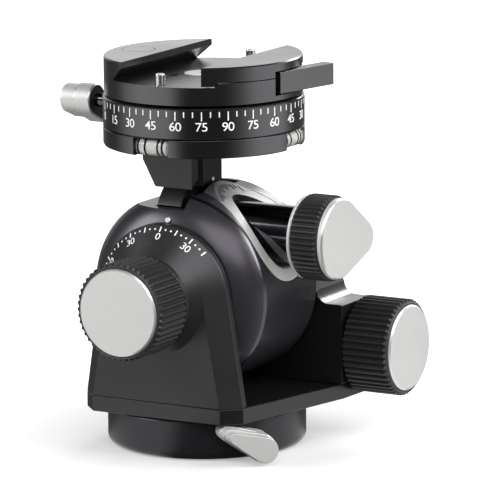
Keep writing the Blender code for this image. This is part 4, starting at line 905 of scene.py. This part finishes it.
def makeClampFittings():
    screw = lathe("centreScrew", fittings["screw"], 96)
    cut(screw, block("slot", *fittings["slot"]))
    soften(screw, *fittings["screwEdge"])
    finishPiece(screw, "turntable", "blastedSilver", ["centre_screw"])
    for name, place, body in fittings["pins"]:
        pin = lay(lathe(name, fittings["pin"], 64), "Z", place)
        finishPiece(pin, body, "polishedSteel", [body])


makeClamp()
makeJaw()
makeFlipLever()
makeClampFittings()
print("clamp made")

# pan lock knob: a teardrop wing with a rounder end, hollow towards the ring; a thin black sheet there is
# painted shade for that hollow
panLock = {
    "large": 5.0, "reach": 8.2, "tip": 1.7, "heading": -50, "small": 4.6, "smallShare": 0.8, "smallTip": 1.6,
    "wing": (38.4, 44.3), "end": (44.0, 49.3), "edge": (0.5, 3),
    "shadeSheetInset": 0.55, "shadeSheet": (38.25, 38.6), "shadeSheetEdge": (0.08, 2), "shaft": (2.2, -42.4, -16.0),
}


def towardsLeft(piece):
    # drawn along Z, laid along -X at the pan lock's height
    piece.data.transform(Matrix.Diagonal((1, 1, -1, 1)))
    piece.data.flip_normals()
    return lay(piece, "X", (0, lockHeight))


def makePanLock():
    p, turn = panLock, radians(panLock["heading"])
    tip = Vector((p["reach"] * cos(turn), p["reach"] * sin(turn)))
    large = teardrop((0, 0), p["large"], tip, p["tip"], 96)
    small = teardrop((0, 0), p["small"], tip * p["smallShare"], p["smallTip"], 96)
    parts = [soften(plate("panLockWing", large, *p["wing"]), *p["edge"]),
             soften(plate("panLockEnd", small, *p["end"]), *p["edge"])]
    knob = towardsLeft(joinAll("panLockKnob", parts))
    finishPiece(knob, "pan_lock", "blastedSilver", ["pan_lock_knob"])
    # painted shade: a thin black sheet just inside the wing's face towards the ring, standing in for the
    # shaded hollow
    shadeSheet = soften(plate("panLockShadeSheet", inset(large, p["shadeSheetInset"]), *p["shadeSheet"]), *p["shadeSheetEdge"])
    finishPiece(towardsLeft(shadeSheet), "pan_lock", "gripRubber")
    shaft = bar("panLockShaft", *p["shaft"], "X", (0, lockHeight), 48)
    finishPiece(shaft, "pan_lock", "tubeBlack", ["pan_lock_shaft"])


makePanLock()
print("pan lock made")

# painted scales
ringScale = {
    "radius": 31.0, "ninety": 44.0, "step": 5, "tickTop": 107.7, "long": 2.7, "short": 1.7, "width": 0.34,
    "thick": (-0.04, 0.06), "digits": 3.75, "digitHeight": 103.0,
}
coneScale = {
    "foot": (16.6, -30.86), "run": 6.0, "rise": 5.1,  # the cone's narrow edge and its slope
    "radius": 21.3, "step": 5,
    "line": (-0.22, 0.22, -0.9, 0.9, -0.04, 0.04), "dot": (0.32, -0.04, 0.04),
    "digits": 3.2, "digitRadius": 19.3, "labels": (("0", 0), ("30", -30), ("30", 30), ("60", -60)),
}
indexDots = {"drum": (0.72, -22.85, -22.0), "drumRadius": 23.4, "neck": (0.7, 2.95, 3.08), "neckHeight": 82.1}
saddleScale = {
    "radius": 13.7, "first": -6, "last": 4, "step": 6.4, "from": 0.3, "long": 3.0, "short": 1.9, "half": 0.17,
    "thick": (-0.05, 0.1),
}
lettering = {"extrude": 0.03, "swell": 0.006, "spacing": 0.92, "widen": 1.12}


def label(text, size):
    startClean()
    bpy.ops.object.text_add(location=(0, 0, 0))
    words = bpy.context.object
    words.data.body, words.data.size = text, size
    words.data.align_x, words.data.align_y = "CENTER", "CENTER"
    words.data.extrude, words.data.offset = lettering["extrude"], lettering["swell"]
    words.data.space_character = lettering["spacing"]
    bpy.ops.object.convert(target="MESH")
    bpy.context.object.data.transform(Matrix.Diagonal((lettering["widen"], 1, 1, 1)))
    return bpy.context.object


def placed(piece, along, up, face, spot):
    # drawn flat in x, y and facing z; moved to three new axes and a place
    piece.data.transform(Matrix(((along[0], up[0], face[0], spot[0]), (along[1], up[1], face[1], spot[1]),
                                 (along[2], up[2], face[2], spot[2]), (0, 0, 0, 1))))
    return piece


def roundTheRing(piece, angle, height):
    # drawn flat in x, y and facing up; wrapped on the rim at this angle from the front
    radius = ringScale["radius"]
    for corner in piece.data.vertices:
        x, y, z = corner.co
        turn = radians(angle) + x / radius
        corner.co = ((radius + z) * sin(turn), -(radius + z) * cos(turn), height + y)
    return piece


def makeRingScale():
    parts, half = [], ringScale["width"] / 2
    for step in range(-18, 19):
        angle, reading = ringScale["ninety"] + step * ringScale["step"], 90 - abs(step) * ringScale["step"]
        length = ringScale["short"] if step % 3 else ringScale["long"]
        tick = block("tick", -half, half, -length, 0, *ringScale["thick"])
        parts.append(roundTheRing(tick, angle, ringScale["tickTop"]))
        if step % 3 == 0:
            digits = label(str(reading), ringScale["digits"])
            parts.append(roundTheRing(digits, angle, ringScale["digitHeight"]))
    finishPiece(joinAll("ringScale", parts), "tilt", "whitePaint")


def onCone(piece, angle, radius):
    # the cone round the top of the front upright; angle from straight up, positive to the right
    t, run, rise = radians(angle), coneScale["run"], coneScale["rise"]
    radial = Vector((sin(t), 0, cos(t)))
    up = (radial * run + Vector((0, rise, 0))).normalized()
    face = (radial * rise - Vector((0, run, 0))).normalized()
    y = coneScale["foot"][1] + (radius - coneScale["foot"][0]) * rise / run
    return placed(piece, (cos(t), 0, -sin(t)), up, face, Vector((0, y, rollHeight)) + radial * radius)


def makeConeScale():
    parts = []
    for angle in range(-90, 46, coneScale["step"]):
        if angle % 15 == 0:
            mark = block("line", *coneScale["line"])
        else:
            mark = bar("dot", *coneScale["dot"], "Z", (0, 0), 16)
        parts.append(onCone(mark, angle, coneScale["radius"]))
    for text, angle in coneScale["labels"]:
        parts.append(onCone(label(text, coneScale["digits"]), angle, coneScale["digitRadius"]))
    finishPiece(joinAll("coneScale", parts), "yoke", "whitePaint")
    dot = bar("drumDot", *indexDots["drum"], "Y", (0, rollHeight + indexDots["drumRadius"]), 24)
    finishPiece(dot, "drum", "whitePaint")
    dot = bar("neckDot", *indexDots["neck"], "X", (0, indexDots["neckHeight"]), 24)
    finishPiece(dot, "tilt", "whitePaint")


def makeSaddleScale():
    # black ticks along the rim of the saddle's facet, drawn out down its slope
    parts, tilt, scale = [], radians(saddle["slope"]), saddleScale
    for step in range(scale["first"], scale["last"] + 1):
        t = radians(step * scale["step"])
        y, z = scale["radius"] * sin(t), pitchHeight + scale["radius"] * cos(t)
        x = saddle["end"] - (z - facetHeight(saddle["end"])) / tan(tilt)
        length = scale["short"] if step % 2 else scale["long"]
        tick = block("tick", scale["from"], length, -scale["half"], scale["half"], *scale["thick"])
        down, out = (cos(tilt), 0, -sin(tilt)), (sin(tilt), 0, cos(tilt))
        parts.append(placed(tick, down, (0, 1, 0), out, (x, y, z)))
    finishPiece(joinAll("saddleScale", parts), "drum", "blackPaint")


makeRingScale()
makeConeScale()
makeSaddleScale()
print("scales made")

# metals for the inner pieces that the frame keeps
inner = {"steel": "polishedSteel", "bronze": "oiledBronze", "brass": "polishedBrass"}
for name, node in frame["nodes"].items():
    slotName = next(p["material_slot"] for p in frame["record"]["subparts"] if p["node"] == name)
    if slotName in inner:
        for place in node.material_slots:
            place.material = finish[inner[slotName]]

# camera at the photograph's place: degrees, millimetres, and what it looks at
camera = {"azimuth": 29.78, "elevation": 10.96, "roll": -0.53, "distance": 1492.27, "lens": 347.98,
          "sensor": 36.0, "side": 13.79, "up": 59.42, "clip": (0.1, 20)}


def placeCamera():
    a, e, r = (radians(camera[key]) for key in ("azimuth", "elevation", "roll"))
    back = Vector((sin(a) * cos(e), -cos(a) * cos(e), sin(e)))
    right = Vector((cos(a), sin(a), 0))
    up = back.cross(right)
    target = right * camera["side"] + Vector((0, 0, camera["up"])) + headCentre
    right, up = cos(r) * right + sin(r) * up, cos(r) * up - sin(r) * right
    eye = (target + back * camera["distance"]) * mm
    data = bpy.data.cameras.new("photoCamera")
    data.lens, data.sensor_width = camera["lens"], camera["sensor"]
    data.clip_start, data.clip_end = camera["clip"]
    seat = bpy.data.objects.new("photoCamera", data)
    seat.matrix_world = Matrix(((right.x, up.x, back.x, eye.x), (right.y, up.y, back.y, eye.y),
                                (right.z, up.z, back.z, eye.z), (0, 0, 0, 1)))
    bpy.context.scene.collection.objects.link(seat)
    bpy.context.scene.camera = seat


placeCamera()

# studio: white floor and sky for the camera, dim surroundings and soft boxes for the gloss
studio = {
    "floorSize": 6, "floorDrop": 0.0002, "floorColour": (0.62, 0.62, 0.62), "floorRoughness": 0.7,
    "floorGlow": (0.04, 0.15, 0.34, 0.9),  # from and to this far out, strength there
    "floorSheen": 1.0,
    "sheenAround": [  # place round the part, brightness of the mirrored floor
        (0.0, 0.15), (0.11, 0.3), (0.19, 0.10), (0.264, 0.12), (0.319, 0.7), (0.375, 1.0), (0.475, 1.0),
        (0.51, 0.05), (0.653, 0.05), (0.70, 0.3), (0.755, 1.0), (0.86, 1.1), (0.90, 0.2), (1.0, 0.1)],
    "room": 0.03,
    "glowBack": (0.25, 0.7), "glowLow": (0.75, 0.4, 0.0, 1.1), "glowSide": (0.5, 0.15, 0.12, 1.0),
    "aim": (0, 0, 0.06),
    "boxes": {  # place, width, height, power
        "keyBox": ((0.58, -1.0, 1.05), 1.4, 1.0, 15.0),
        "leftBox": ((-1.15, -0.85, 0.70), 0.8, 0.8, 14.0),
        "rightBox": ((1.15, 0.25, 0.85), 0.9, 0.8, 18.0),
        "backBox": ((0.0, 1.15, 0.70), 0.5, 0.4, 6.5),
    },
}


def sheenRamp(tree, place):
    # brightness of the floor by the direction from the part, read from a ramp
    split, turn, away, ramp, sheen = several(tree, "SeparateXYZ", "Math", "Math", "ValToRGB", "Emission")
    around = ranged(tree, -pi, pi)
    away.operation, turn.operation = "MULTIPLY", "ARCTAN2"
    away.inputs[1].default_value = -1.0
    wire(tree, (place, "Object", split, 0), (split, "Y", away, 0), (split, "X", turn, 0),
         (away, 0, turn, 1), (turn, 0, around, "Value"), (around, "Result", ramp, 0))
    stops = studio["sheenAround"]
    while len(ramp.color_ramp.elements) < len(stops):
        ramp.color_ramp.elements.new(0.5)
    for stop, (position, level) in zip(ramp.color_ramp.elements, stops):
        stop.position = position
    for stop, (position, level) in zip(ramp.color_ramp.elements, stops):
        stop.color = (level, level, level, 1)
    wire(tree, (ramp, "Color", sheen, "Color"))
    sheen.inputs["Strength"].default_value = studio["floorSheen"]
    return sheen


def makeFloor():
    startClean()
    bpy.ops.mesh.primitive_plane_add(size=studio["floorSize"], location=(0, 0, -studio["floorDrop"]))
    floor = bpy.context.object
    floor.name = "studioFloor"
    material, tree, shader = newMaterial("floorWhite", studio["floorColour"], studio["floorRoughness"], 0.0)
    glow, both, ray, pick, place, reach, mirror = several(
        tree, "Emission", "AddShader", "LightPath", "MixShader", "TexCoord", "VectorMath", "MixShader")
    sheen, sink = sheenRamp(tree, place), tree.nodes["Material Output"]
    # the camera sees a lifted white, so that only the contact shadow shows
    lift = ranged(tree, *studio["floorGlow"])
    reach.operation = "LENGTH"
    wire(tree, (place, "Object", reach, 0), (reach, "Value", lift, "Value"),
         (lift, "Result", glow, "Strength"), (shader, 0, both, 0), (glow, 0, both, 1),
         (ray, "Is Camera Ray", pick, 0), (shader, 0, pick, 1), (both, 0, pick, 2))
    # mirrored in the part, the floor is bright to the left front and to the right, dark under the camera
    wire(tree, (ray, "Is Glossy Ray", mirror, 0), (pick, 0, mirror, 1), (sheen, 0, mirror, 2),
         (mirror, 0, sink, "Surface"))
    floor.data.materials.append(material)


def makeSky():
    # white to the camera; to the part, a backdrop that glows and a dim room
    world = bpy.data.worlds.new("studioSky")
    bpy.context.scene.world = world
    world.use_nodes = True
    tree = world.node_tree
    room, sink = tree.nodes["Background"], tree.nodes["World Output"]
    white, ray, pick, sight, split, glow, narrow, total = several(
        tree, "Background", "LightPath", "MixShader", "TexCoord", "SeparateXYZ", "Math", "Math", "Math")
    back, low, side = (ranged(tree, *studio[key], smooth=True) for key in ("glowBack", "glowLow", "glowSide"))
    wire(tree, (sight, "Generated", split, 0))
    for axis, step in (("X", side), ("Y", back), ("Z", low)):
        wire(tree, (split, axis, step, "Value"))
    glow.operation = narrow.operation = "MULTIPLY"
    wire(tree, (back, "Result", glow, 0), (low, "Result", glow, 1), (glow, 0, narrow, 0),
         (side, "Result", narrow, 1), (narrow, 0, total, 0))
    total.inputs[1].default_value = studio["room"]
    wire(tree, (total, 0, room, "Strength"))
    for background in (room, white):
        background.inputs["Color"].default_value = (1, 1, 1, 1)
    wire(tree, (ray, "Is Camera Ray", pick, 0), (room, 0, pick, 1), (white, 0, pick, 2),
         (pick, 0, sink, "Surface"))


def makeLights():
    for name, (place, width, height, power) in studio["boxes"].items():
        light = bpy.data.lights.new(name, "AREA")
        light.shape, light.size, light.size_y, light.energy = "RECTANGLE", width, height, power
        lamp = bpy.data.objects.new(name, light)
        lamp.location = place
        lamp.rotation_euler = (Vector(studio["aim"]) - Vector(place)).to_track_quat("-Z", "Y").to_euler()
        bpy.context.scene.collection.objects.link(lamp)


bpy.context.scene.view_settings.view_transform = "Standard"
makeFloor()
makeSky()
makeLights()
for mark in (faceMark, edgeMark):
    bpy.data.materials.remove(mark)
startClean()
print("studio made")
